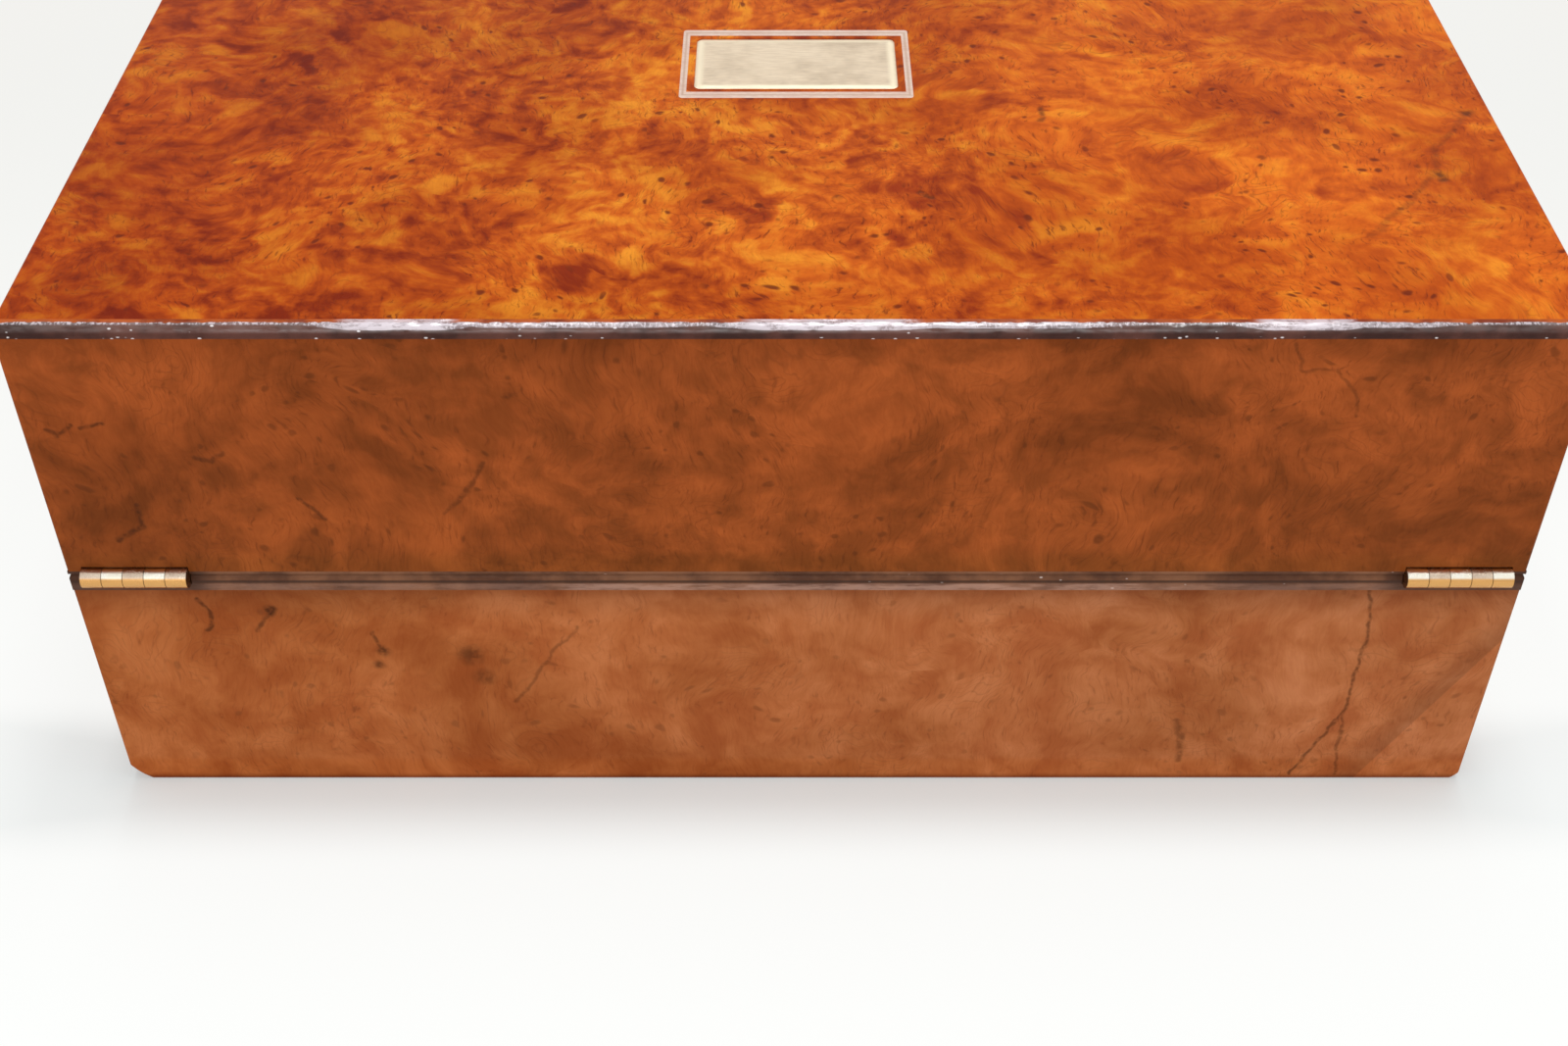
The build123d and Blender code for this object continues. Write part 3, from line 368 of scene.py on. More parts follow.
# Scars, cracks and spots: their points in millimetres, their width and their strength
topMarks = [
    ([(-168.6, 26.1, 0), (-156.9, 43.0, 0), (-153.9, 54.9, 0), (-144.7, 67.8, 0), (-132.1, 82.6, 0)],
     1.6, 0.3),
    ([(-168.6, 26.1, 0)], 3.2, 0.8),
    ([(-153.9, 54.9, 0), (-155.0, 58.5, 0)], 2.0, 0.7),
    ([(-9.6, 65.6, 0)], 1.8, 0.6),
    ([(-29.2, 64.3, 0), (-32.0, 66.0, 0)], 1.4, 0.6),
    ([(-62.0, 24.0, 0), (-61.0, 30.0, 0)], 1.2, 0.6),
]
lidMarks = [
    ([(-107.6, 0, 141.3), (-111.0, 0, 133.9), (-118.6, 0, 133.9), (-124.0, 0, 127.9), (-125.3, 0, 121.1)],
     0.7, 0.4),
    ([(131.3, 0, 110.6), (134.3, 0, 108.0), (137.6, 0, 109.2)], 0.9, 0.5),
    ([(153.5, 0, 94.8), (153.9, 0, 88.4), (160.3, 0, 84.4)], 1.1, 0.7),
    ([(115.9, 0, 96.9), (113.2, 0, 93.9), (110.5, 0, 90.6)], 0.9, 0.6),
    ([(71.9, 0, 107.5), (76.9, 0, 98.1), (82.3, 0, 92.7)], 1.0, 0.5),
    ([(161.7, 0, 117.2), (156.4, 0, 119.1)], 0.9, 0.7),
    ([(169.5, 0, 117.7), (166.9, 0, 115.5), (163.8, 0, 118.6)], 0.9, 0.6),
    ([(64.3, 0, 126.8)], 1.6, 0.5),
]
baseMarks = [
    ([(-139.0, 0, 68.7), (-140.6, 0, 55.5), (-140.9, 0, 43.6), (-140.3, 0, 25.9), (-134.6, 0, 13.0),
      (-130.1, 0, 1.6)], 0.8, 0.62),
    ([(-140.3, 0, 25.9), (-140.7, 0, 13.0), (-142.3, 0, 1.6)], 0.8, 0.5),
    ([(145.9, 0, 64.8), (143.3, 0, 60.8), (143.5, 0, 57.5), (145.0, 0, 54.8)], 1.0, 0.7),
    ([(128.7, 0, 61.8), (129.1, 0, 60.2)], 2.0, 0.9),
    ([(129.1, 0, 60.2), (130.2, 0, 57.6), (132.6, 0, 54.6)], 0.9, 0.5),
    ([(102.8, 0, 47.4)], 2.8, 0.8),
    ([(104.4, 0, 42.6)], 2.2, 0.7),
    ([(104.6, 0, 53.8), (103.3, 0, 48.7)], 0.8, 0.6),
    ([(81.2, 0, 46.0)], 4.8, 0.62),
    ([(78.6, 0, 38.4)], 3.8, 0.5),
    ([(53.7, 0, 55.5), (60.1, 0, 48.1), (65.3, 0, 38.4), (71.3, 0, 29.1)], 0.8, 0.4),
    ([(-97.4, 0, 22.3), (-99.9, 0, 16.7), (-99.9, 0, 7.3)], 1.3, 0.45),
]


def burrWalnut(name, look, flat=(1, 1, 1), marks=(), shades=()):
    material, tree, place = newMaterial(name)
    figure = useGroup(tree, burrFigure, dict(look["figure"], Place=place))
    half = 0.11 / look["contrast"]
    mottle = figure["Mottle"]
    if look["calm"]:
        low, high, share = look["calm"]
        quiet = stretch(tree, axes(tree, place)[0], high, low, share, 0.0)
        mottle = put(tree, "ShaderNodeMix", {0: quiet, 2: mottle, 3: 0.5}).outputs[0]
    lower = stretch(tree, mottle, 0.5 - 1.6 * half, 0.5 + 0.3 * half)
    upper = stretch(tree, mottle, 0.5 - 0.3 * half, 0.5 + 1.6 * half)
    colour = tinted(tree, upper, tinted(tree, lower, look["dark"], look["middle"]), look["light"])
    colour = tinted(tree, stretch(tree, figure["Cloud"], 0.38, 0.66), colour, look["cloud"], "MULTIPLY")
    for low, high, way, tint in shades:
        across = measured(tree, "DOT_PRODUCT", place, way)
        colour = tinted(tree, stretch(tree, across, low, high), colour, tint, "MULTIPLY")
    thread = stretch(tree, figure["Fibre"], 0.3, 0.7)
    colour = tinted(tree, times(tree, thread, veneerFinish["thread"]), colour, look["dark"], "MULTIPLY")
    colour = tinted(tree, times(tree, figure["Curl"], look["curl"]), colour, look["deep"])
    colour = tinted(tree, times(tree, figure["Pips"], look["pips"]), colour, look["deep"])
    height = figure["Height"]
    if marks:
        laid = move(tree, "MULTIPLY", strayed(tree, place, veneerFinish["markStray"], 5.0), flat)
        broken = stretch(tree, noise(tree, place, 1.8), 0.36, 0.54, 0.5, 1.0)
        drawn = times(tree, strokes(tree, laid, marks), broken)
        colour = tinted(tree, drawn, colour, veneerFinish["mark"])
        height = minus(tree, height, drawn)
    wear = useGroup(tree, scuffs, {"Place": place, "Size": veneerFinish["wearSize"]})
    rough = stretch(tree, wear["Rubbed"], 0.3, 0.7, look["roughness"] - 0.06, look["roughness"] + 0.1)
    finishMaterial(tree, {
        "Base Color": colour, "Roughness": rough, "IOR": veneerFinish["ior"],
        "Coat Weight": veneerFinish["coat"], "Coat Roughness": veneerFinish["coatRoughness"],
        "Normal": bumped(tree, height, veneerFinish["relief"], 0.5),
    })
    return material


# Broad changes of colour: from and to in millimetres, the way they run and the tint at their far end.
# A tint over 255 lightens.
topShades = [
    (-130.0, 10.0, (1, 0, 0), rgb(246, 246, 255)),
    (0.0, 170.0, (1, 0, 0), rgb(222, 196, 170)),
    (80.0, -100.0, (0, 1, 0), rgb(240, 236, 200)),
]
lidShades = [
    (0.0, 170.0, (1, 0, 0), rgb(248, 246, 244)),
    # painted reflection: less red towards the lid's lower edge
    (120.0, 78.0, (0, 0, 1), rgb(250, 255, 255)),
    # painted shade under the moulding, at the lid's top edge
    (134.0, 142.0, (0, 0, 1), rgb(236, 234, 232)),
    (83.0, 76.0, (0, 0, 1), rgb(236, 244, 236)),
]
baseShades = [
    # the next two: painted shade just below the seam
    (56.0, 68.0, (0, 0, 1), rgb(226, 230, 240)),
    (64.5, 68.0, (0, 0, 1), rgb(232, 224, 218)),
    (-150.0, 160.0, (1, 0, 0), rgb(248, 234, 210)),
    (9.5, 6.0, (0, 0, 1), rgb(255, 246, 228)),
    (2.4, 0.4, (0, 0, 1), rgb(186, 168, 156)),
    (119.0, 129.4, (-0.881, 0, -0.472), rgb(226, 228, 234)),
    (129.4, 129.9, (-0.881, 0, -0.472), rgb(288, 284, 278)),
]

topVeneer = burrWalnut("burrWalnutTop", veneerLook["top"], (1, 1, 0), topMarks, topShades)
lidBackVeneer = burrWalnut("burrWalnutLidBack", veneerLook["lid"], (1, 0, 1), lidMarks, lidShades)
baseBackVeneer = burrWalnut("burrWalnutBaseBack", veneerLook["base"], (1, 0, 1), baseMarks, baseShades)
sideVeneers = []
for label, seed in (("burrWalnutLidSides", 11.3), ("burrWalnutBaseSides", 15.6)):
    sideFigure = dict(veneerLook["lid"]["figure"], Seed=seed, Axis=(1, 1, 0))
    sideVeneers.append(burrWalnut(label, dict(veneerLook["lid"], figure=sideFigure)))
lidSideVeneer, baseSideVeneer = sideVeneers
print("burr veneers are made")


# Ebonised moulding and lippings

ebonyLook = {
    "moulding": {
        "dark": rgb(62, 34, 29), "rubbed": rgb(108, 66, 56), "chip": rgb(250, 242, 242), "chips": 0.95,
        "arrises": (142.6, 145.45),   # heights at which it chips most
        "coat": (143.6, 144.7),       # it shines from the one height up to the other
        "lines": (), "hinges": None,
        # painted highlight along the upper arris: specks, and full bands over the stretches where the lamps
        # are reflected
        "paintedHighlight": {
            "from": 145.1, "deeper": 0.8, "tint": rgb(238, 226, 234),
            "stretches": (            # middle and half length along X, and share
                (87.0, 17.0, 1.0), (50.0, 30.0, 0.5), (-7.0, 25.0, 1.0), (-44.0, 26.0, 0.65),
                (-110.0, 14.0, 1.0), (-126.0, 16.0, 0.5),
            ),
        },
        # bare wood up to this far from the middle along Y, less what it wanders
        "bare": {"edge": 117.0, "wander": 0.9, "dark": rgb(134, 52, 20), "light": rgb(190, 90, 32)},
    },
    "lipping": {
        "dark": rgb(98, 60, 41), "rubbed": rgb(152, 102, 72), "chip": rgb(226, 206, 196), "chips": 0.98,
        "arrises": None, "coat": None,
        "lines": (                    # from and to in height, tint, share and its run along X
            # painted shade: a dark line along the lipping, just above the pale line
            (70.2, 71.0, rgb(62, 38, 26), 0.8, None),
            # a pale line along the lower arris: painted highlight, and the arris worn pale
            (67.6, 69.9, rgb(214, 168, 148), 0.6, (-100.0, 62.0)),
        ),
        "hinges": (139.4, 145.9, rgb(70, 42, 28), 0.7),   # from and to along X, tint and share
        "paintedHighlight": None,
    },
}
ebonyGrain = {
    "wearSize": 14.0,
    "chipStretch": (0.7, 1.3, 1.3),
    "chipScale": 0.9,
    "streakStretch": (0.35, 1.2, 1.2),
    "streakSize": 1.6,
    "relief": 0.05,
}


def paintedLightLine(tree, place, height, low, high, run):
    # a line of painted shade or painted highlight along the lipping between two heights, broken; full only
    # over its run
    above = stretch(tree, height, low, low + 0.4)
    line = times(tree, above, stretch(tree, height, high, high + 0.4, 1.0, 0.0))
    if not run:
        return line
    along = axes(tree, place)[0]
    broken = noise(tree, move(tree, "MULTIPLY", place, (0.16, 1, 1)), 2.2, 4.0, 0.7)
    within = times(tree, stretch(tree, along, run[0], run[0] + 20),
                   stretch(tree, along, run[1] - 14, run[1], 1.0, 0.0))
    line = times(tree, line, stretch(tree, broken, 0.36, 0.6, 0.25))
    return times(tree, line, stretch(tree, within, 0.0, 1.0, 0.35))


def caughtLight(tree, along, stretches):
    # the stretches of the upper arris that light catches
    caught = 0.0
    for middle, half, share in stretches:
        off = reckon(tree, "ABSOLUTE", minus(tree, along, middle))
        caught = reckon(tree, "MAXIMUM", stretch(tree, off, half * 0.5, half * 1.3, share, 0.0), caught)
    return caught


def paintHighlight(tree, place, height, streak, caught, paintedHighlight):
    # painted highlight on the upper arris: specks, and a full band where it catches light
    low = reckon(tree, "MULTIPLY_ADD", caught, -paintedHighlight["deeper"], paintedHighlight["from"])
    band = stretch(tree, minus(tree, height, low), 0.0, 0.22)
    speck = noise(tree, move(tree, "MULTIPLY", place, (1.6, 1, 1)), 1.1, 2.0, 0.6)
    speck = stretch(tree, speck, 0.48, 0.56, 0.14, 0.72)
    full = times(tree, caught, stretch(tree, streak, 0.36, 0.54, 0.35, 0.95))
    return times(tree, band, reckon(tree, "MAXIMUM", speck, full))


def bareWood(tree, place, caught, bare):
    # worn through to the wood along the inner edge, to an uneven line, less where the painted highlight is
    # full
    away = axes(tree, move(tree, "ABSOLUTE", place))[1]
    away = reckon(tree, "MULTIPLY_ADD", noise(tree, place, 4.0, 3.0), bare["wander"], away)
    away = minus(tree, away, bare["edge"] + bare["wander"] / 2)
    worn = stretch(tree, away, -0.1, 0.15, 1.0, 0.0)
    worn = times(tree, worn, stretch(tree, caught, 0.6, 1.0, 1.0, 0.3))
    grain = stretch(tree, noise(tree, place, 6.0, 4.0), 0.35, 0.65)
    return worn, tinted(tree, grain, bare["dark"], bare["light"])


def ebonised(name, look):
    material, tree, place = newMaterial(name)
    wear = useGroup(tree, scuffs, {"Place": place, "Size": ebonyGrain["wearSize"]})
    colour = tinted(tree, stretch(tree, wear["Rubbed"], 0.35, 0.7), look["dark"], look["rubbed"])
    along, _, height = axes(tree, place)
    # small chips, most of them on the arrises
    grains = move(tree, "MULTIPLY", place, ebonyGrain["chipStretch"])
    grains = put(tree, "ShaderNodeTexVoronoi", {"Vector": grains, "Scale": ebonyGrain["chipScale"]})
    chance = channels(tree, grains.outputs["Color"])[0]
    if look["arrises"]:
        low, high = look["arrises"]
        near = reckon(tree, "ABSOLUTE", minus(tree, height, low))
        near = stretch(tree, near, 0.2, 0.5, 1.0, 0.0)
        near = reckon(tree, "MAXIMUM", near, stretch(tree, height, high - 0.15, high))
        chance = reckon(tree, "MULTIPLY_ADD", near, 0.2, chance)
    chip = times(tree, reckon(tree, "GREATER_THAN", chance, look["chips"]),
                 stretch(tree, grains.outputs["Distance"], 0.16, 0.34, 1.0, 0.0))
    colour = tinted(tree, chip, colour, look["chip"])
    streak = move(tree, "MULTIPLY", place, ebonyGrain["streakStretch"])
    streak = noise(tree, streak, ebonyGrain["streakSize"], 4.0, 0.65)
    for low, high, tint, share, run in look["lines"]:
        line = paintedLightLine(tree, place, height, low, high, run)
        colour = tinted(tree, times(tree, line, share), colour, tint)
    if look["hinges"]:
        # darker where hands never reached, beside each hinge
        start, end, tint, share = look["hinges"]
        beside = stretch(tree, reckon(tree, "ABSOLUTE", along), start, end, 0.0, share)
        colour = tinted(tree, beside, colour, tint)
    gloss = 0.0
    if look["coat"]:
        gloss = stretch(tree, streak, 0.34, 0.6, 0.3, 1.0)
        gloss = times(tree, gloss, stretch(tree, height, *look["coat"]))
    # painted highlight along the upper arris
    if look["paintedHighlight"]:
        caught = caughtLight(tree, along, look["paintedHighlight"]["stretches"])
        pale = paintHighlight(tree, place, height, streak, caught, look["paintedHighlight"])
        colour = tinted(tree, pale, colour, look["paintedHighlight"]["tint"])
        worn, wood = bareWood(tree, place, caught, look["bare"])
        colour = tinted(tree, worn, colour, wood)
        gloss = times(tree, gloss, minus(tree, 1.0, worn))
    finishMaterial(tree, {
        "Base Color": colour, "Roughness": stretch(tree, streak, 0.35, 0.65, 0.3, 0.5), "IOR": 1.25,
        "Coat Weight": gloss, "Coat IOR": 1.75, "Coat Roughness": 0.14,
        "Normal": bumped(tree, reckon(tree, "ADD", streak, wear["Scratch"]), ebonyGrain["relief"], 0.6),
    })
    return material


mouldingBlack = ebonised("ebonisedMoulding", ebonyLook["moulding"])
lippingBlack = ebonised("ebonisedLipping", ebonyLook["lipping"])
print("ebonised wood is made")


# Brass, steel, inner woods, leather and glass

metalLook = {
    "hinge": {"bright": (0.78, 0.66, 0.54, 1), "dull": (0.62, 0.5, 0.4, 1), "smooth": 0.18, "rough": 0.34},
    # a lighter copy of the hinge's brass, for one leaf of each hinge: rubbed bright, and painted highlight
    "rubbedAndLitHinge": {
        "bright": (1.0, 0.99, 0.92, 1), "dull": (0.96, 0.92, 0.8, 1), "smooth": 0.12, "rough": 0.24,
    },
    "plate": {
        "bright": (0.86, 0.72, 0.55, 1), "dull": (0.54, 0.44, 0.33, 1), "smooth": 0.32, "rough": 0.48,
    },
    "border": {
        "bright": (0.84, 0.66, 0.57, 1), "dull": (0.68, 0.5, 0.43, 1), "smooth": 0.28, "rough": 0.44,
    },
    "fitting": {"bright": (0.86, 0.64, 0.34, 1), "dull": (0.5, 0.34, 0.17, 1), "smooth": 0.3, "rough": 0.5},
    "steel": {"bright": (0.56, 0.54, 0.51, 1), "dull": (0.3, 0.27, 0.24, 1), "smooth": 0.3, "rough": 0.5},
}


def wornMetal(name, look, brushed=(1.0, 1.0, 1.0), patches=5.0, tarnishAndShadeBelow=None, joints=None, rims=()):
    material, tree, place = newMaterial(name)
    wear = useGroup(tree, scuffs, {"Place": place, "Size": patches})
    tarnish = stretch(tree, wear["Rubbed"], 0.34, 0.7)
    colour = tinted(tree, tarnish, look["bright"], look["dull"])
    brush = noise(tree, move(tree, "MULTIPLY", place, brushed), 0.5)
    colour = tinted(tree, stretch(tree, brush, 0.35, 0.65, 0.0, 0.25), colour, look["dull"], "MULTIPLY")
    if tarnishAndShadeBelow:
        # golden below this height: painted shade on the lower half of the barrel, and tarnish where no
        # fingers rubbed it pale
        low, high, tint = tarnishAndShadeBelow
        colour = tinted(tree, stretch(tree, axes(tree, place)[2], low, high, 1.0, 0.0), colour, tint)
    if joints:
        # darker lines between the knuckles of a hinge
        start, step, wide, share, tint = joints
        along = minus(tree, axes(tree, move(tree, "ABSOLUTE", place))[0], start)
        along = reckon(tree, "PINGPONG", along, step / 2)
        colour = tinted(tree, stretch(tree, along, 0.0, wide, share, 0.0), colour, tint)
    for around, wide, tint, share in rims:
        # a rectangle of another tone: along the edge, or as a line within it
        edge = axes(tree, move(tree, "SUBTRACT", move(tree, "ABSOLUTE", place), around + (0,)))
        edge = reckon(tree, "ABSOLUTE", reckon(tree, "MAXIMUM", edge[0], edge[1]))
        colour = tinted(tree, stretch(tree, edge, 0.0, wide, share, 0.0), colour, tint)
    rough = stretch(tree, wear["Rubbed"], 0.3, 0.7, look["smooth"], look["rough"])
    finishMaterial(tree, {
        "Base Color": colour, "Metallic": 1.0, "Roughness": rough,
        "Normal": bumped(tree, minus(tree, brush, wear["Scratch"]), 0.02, 0.5),
    })
    return material


barrel = {
    # the lower half of each barrel is golden: painted shade, and tarnish
    "tarnishAndShadeBelow": (73.9, 74.5, rgb(218, 165, 100)),           # from and to in height, and the tone below
    "joints": (145.9, 5.08, 0.2, 0.45, rgb(116, 84, 50)),   # first along X, step, width, share and tone
}
# painted highlight along the plate's bevelled rim
plateRimHighlight = ((25.1, 12.6), 1.7, (0.93, 0.82, 0.62, 1), 0.9)  # half sizes, width, tone and share
borderGroove = ((29.05, 16.9), 0.5, (0.5, 0.3, 0.2, 1), 0.6)
hingeBrass = wornMetal("hingeBrass", metalLook["hinge"], **barrel)
# one leaf of each hinge is lighter: rubbed bright, and painted highlight
rubbedAndLitBrass = wornMetal("hingeBrassRubbedAndLit", metalLook["rubbedAndLitHinge"], **barrel)
plateBrass = wornMetal("plateBrass", metalLook["plate"], (0.12, 1.2, 1.2), 22.0, rims=(plateRimHighlight,))
borderBrass = wornMetal("borderBrass", metalLook["border"], (0.3, 1.0, 1.0), 9.0, rims=(borderGroove,))
fittingBrass = wornMetal("fittingBrass", metalLook["fitting"])
lockSteel = wornMetal("lockSteel", metalLook["steel"])

innerWoodLook = {
    "carcass": {"dark": rgb(132, 74, 46), "light": rgb(176, 112, 72), "roughness": 0.55, "pore": 1.2},
    "walnut": {"dark": rgb(82, 44, 26), "light": rgb(132, 80, 48), "roughness": 0.35, "pore": 0.9},
}


def straightWood(name, look):
    # long grain along X with growth bands and open pores
    material, tree, place = newMaterial(name)
    laid = move(tree, "MULTIPLY", strayed(tree, place, 18.0, 70.0), (0.05, 1.0, 1.0))
    band = noise(tree, laid, 7.0, 4.0, 0.6)
    pore = noise(tree, move(tree, "MULTIPLY", laid, (1.4, 3.2, 3.2)), look["pore"])
    colour = tinted(tree, stretch(tree, band, 0.36, 0.64), look["dark"], look["light"])
    pores = stretch(tree, pore, 0.56, 0.68)
    colour = tinted(tree, times(tree, pores, 0.5), colour, look["dark"], "MULTIPLY")
    wear = useGroup(tree, scuffs, {"Place": place, "Size": 30.0})
    rough = stretch(tree, wear["Rubbed"], 0.3, 0.7, look["roughness"] - 0.08, look["roughness"] + 0.1)
    finishMaterial(tree, {
        "Base Color": colour, "Roughness": rough, "IOR": 1.35,
        "Normal": bumped(tree, minus(tree, band, pores), 0.08, 0.6),
    })
    return material


carcassWood = straightWood("carcassWood", innerWoodLook["carcass"])
polishedWalnut = straightWood("polishedWalnut", innerWoodLook["walnut"])


leatherLook = {
    "dark": rgb(38, 66, 46),
    "light": rgb(66, 92, 60),
    "crease": rgb(120, 130, 110),
    "rubbed": rgb(106, 92, 60),
    "grain": 1.1,             # millimetres from grain to grain
    "relief": 0.12,
}


def tooledLeather(name):
    material, tree, place = newMaterial(name)
    look = leatherLook
    given = {"Vector": place, "Scale": 1 / look["grain"]}
    cells = put(tree, "ShaderNodeTexVoronoi", given, feature="DISTANCE_TO_EDGE")
    grain = stretch(tree, cells.outputs["Distance"], 0.0, 0.22)
    patches = noise(tree, place, 38.0, 4.0, 0.6)
    colour = tinted(tree, stretch(tree, patches, 0.35, 0.68), look["dark"], look["light"])
    colour = tinted(tree, minus(tree, 1.0, grain), colour, look["crease"], "MULTIPLY")
    wear = useGroup(tree, scuffs, {"Place": place, "Size": 22.0})
    worn = times(tree, stretch(tree, wear["Rubbed"], 0.55, 0.75), 0.4)
    finishMaterial(tree, {
        "Base Color": tinted(tree, worn, colour, look["rubbed"]),
        "Roughness": stretch(tree, wear["Rubbed"], 0.3, 0.7, 0.45, 0.66), "IOR": 1.4,
        "Normal": bumped(tree, grain, look["relief"], 0.7),
    })
    return material


writingLeather = tooledLeather("tooledLeather")


def inkGlass(name):
    material, tree, place = newMaterial(name)
    streaks = noise(tree, place, 9.0)
    finishMaterial(tree, {
        "Base Color": tinted(tree, streaks, (0.86, 0.93, 0.9, 1), (0.97, 0.99, 0.98, 1)),
        "Roughness": 0.04, "IOR": 1.5, "Transmission Weight": 1.0,
        "Normal": bumped(tree, streaks, 0.05, 0.2),
    })
    return material


wellGlass = inkGlass("inkwellGlass")
print("brass, steel, inner wood, leather and glass are made")


giltLook = {"gold": (0.86, 0.62, 0.26, 1), "bare": rgb(70, 84, 50), "wornFrom": 0.55, "wornTo": 0.66}


def giltTooling(name):
    # gold leaf that has worn off in places down to the leather
    material, tree, place = newMaterial(name)
    wear = noise(tree, place, 7.0, 5.0, 0.65)
    gone = stretch(tree, wear, giltLook["wornFrom"], giltLook["wornTo"])
    finishMaterial(tree, {
        "Base Color": tinted(tree, gone, giltLook["gold"], giltLook["bare"]),
        "Metallic": stretch(tree, gone, 0.0, 1.0, 1.0, 0.0),
        "Roughness": stretch(tree, wear, 0.3, 0.7, 0.3, 0.55), "Normal": bumped(tree, wear, 0.03, 0.5),
    })
    return material


gilt = giltTooling("giltTooling")

slotFinish = {
    "burr_walnut_veneer": lidSideVeneer,
    "ebonised_wood": lippingBlack,
    "polished_walnut": polishedWalnut,
    "carcass_wood": carcassWood,
    "leather": writingLeather,
    "glass": wellGlass,
    "inlaid_brass": plateBrass,
    "brass": fittingBrass,
    "lock_steel": lockSteel,
}
ownFinish = {
    "lid_top_veneer": topVeneer,
    "lid_back_veneer": lidBackVeneer,
    "base_back_veneer": baseBackVeneer,
    "base_front_veneer": baseSideVeneer,
    "base_left_veneer": baseSideVeneer,
    "base_right_veneer": baseSideVeneer,
    "top_moulding": mouldingBlack,
    "plate_border": borderBrass,
    # one leaf of each hinge takes the lighter brass: rubbed bright, and painted highlight
    "left_hinge_base_leaf": rubbedAndLitBrass,
    "right_hinge_base_leaf": hingeBrass,
    "left_hinge_lid_leaf": hingeBrass,
    "right_hinge_lid_leaf": rubbedAndLitBrass,
    "hinge_pins": hingeBrass,
}

for part in frame["record"]["subparts"]:
    finish = ownFinish.get(part["node"], slotFinish[part["material_slot"]])
    for holder in cadNodes[part["node"]].material_slots:
        holder.material = finish
print("every CAD part has its finish")


# Gilt tooling on the two writing leathers: a thick and a thin line with small stamps between them

toolingLook = {
    "Inset": 4.5,             # millimetres from the leather's edge to the outer line
    "Gap": 7.0,               # between the two lines
    "Thick": 0.7,
    "Thin": 0.3,
    "Stamp Step": 5.2,
    "Stamp Size": 1.5,
    "Corner Size": 3.0,
    "Inner Inset": 34.0,      # a single line round the middle of the sheet
    "Depth": 0.07,
}
toolingSeed = 5
sheetFace = 0.0018            # metres from the seam's plane on to the face of either sheet
casePlace = {
    "high": 0.1455,           # metres
    "halfDepth": 0.119,
    "lidFront": 0.038,        # the lid's height at the front
    "hingeY": 0.1197,
    "hingeZ": 0.07275,
}
seamRise = (casePlace["high"] - casePlace["lidFront"] - casePlace["hingeZ"]) / (
    casePlace["hingeY"] + casePlace["halfDepth"])
writingSheets = {
    # body, half width, front and back edge along Y, and the side of the seam that its face lies on
    "base_flap_tooling": ("base", 0.1574, -0.0518, 0.0925, -1),
    "lid_flap_tooling": ("lid", 0.1574, -0.1015, 0.0925, 1),
}


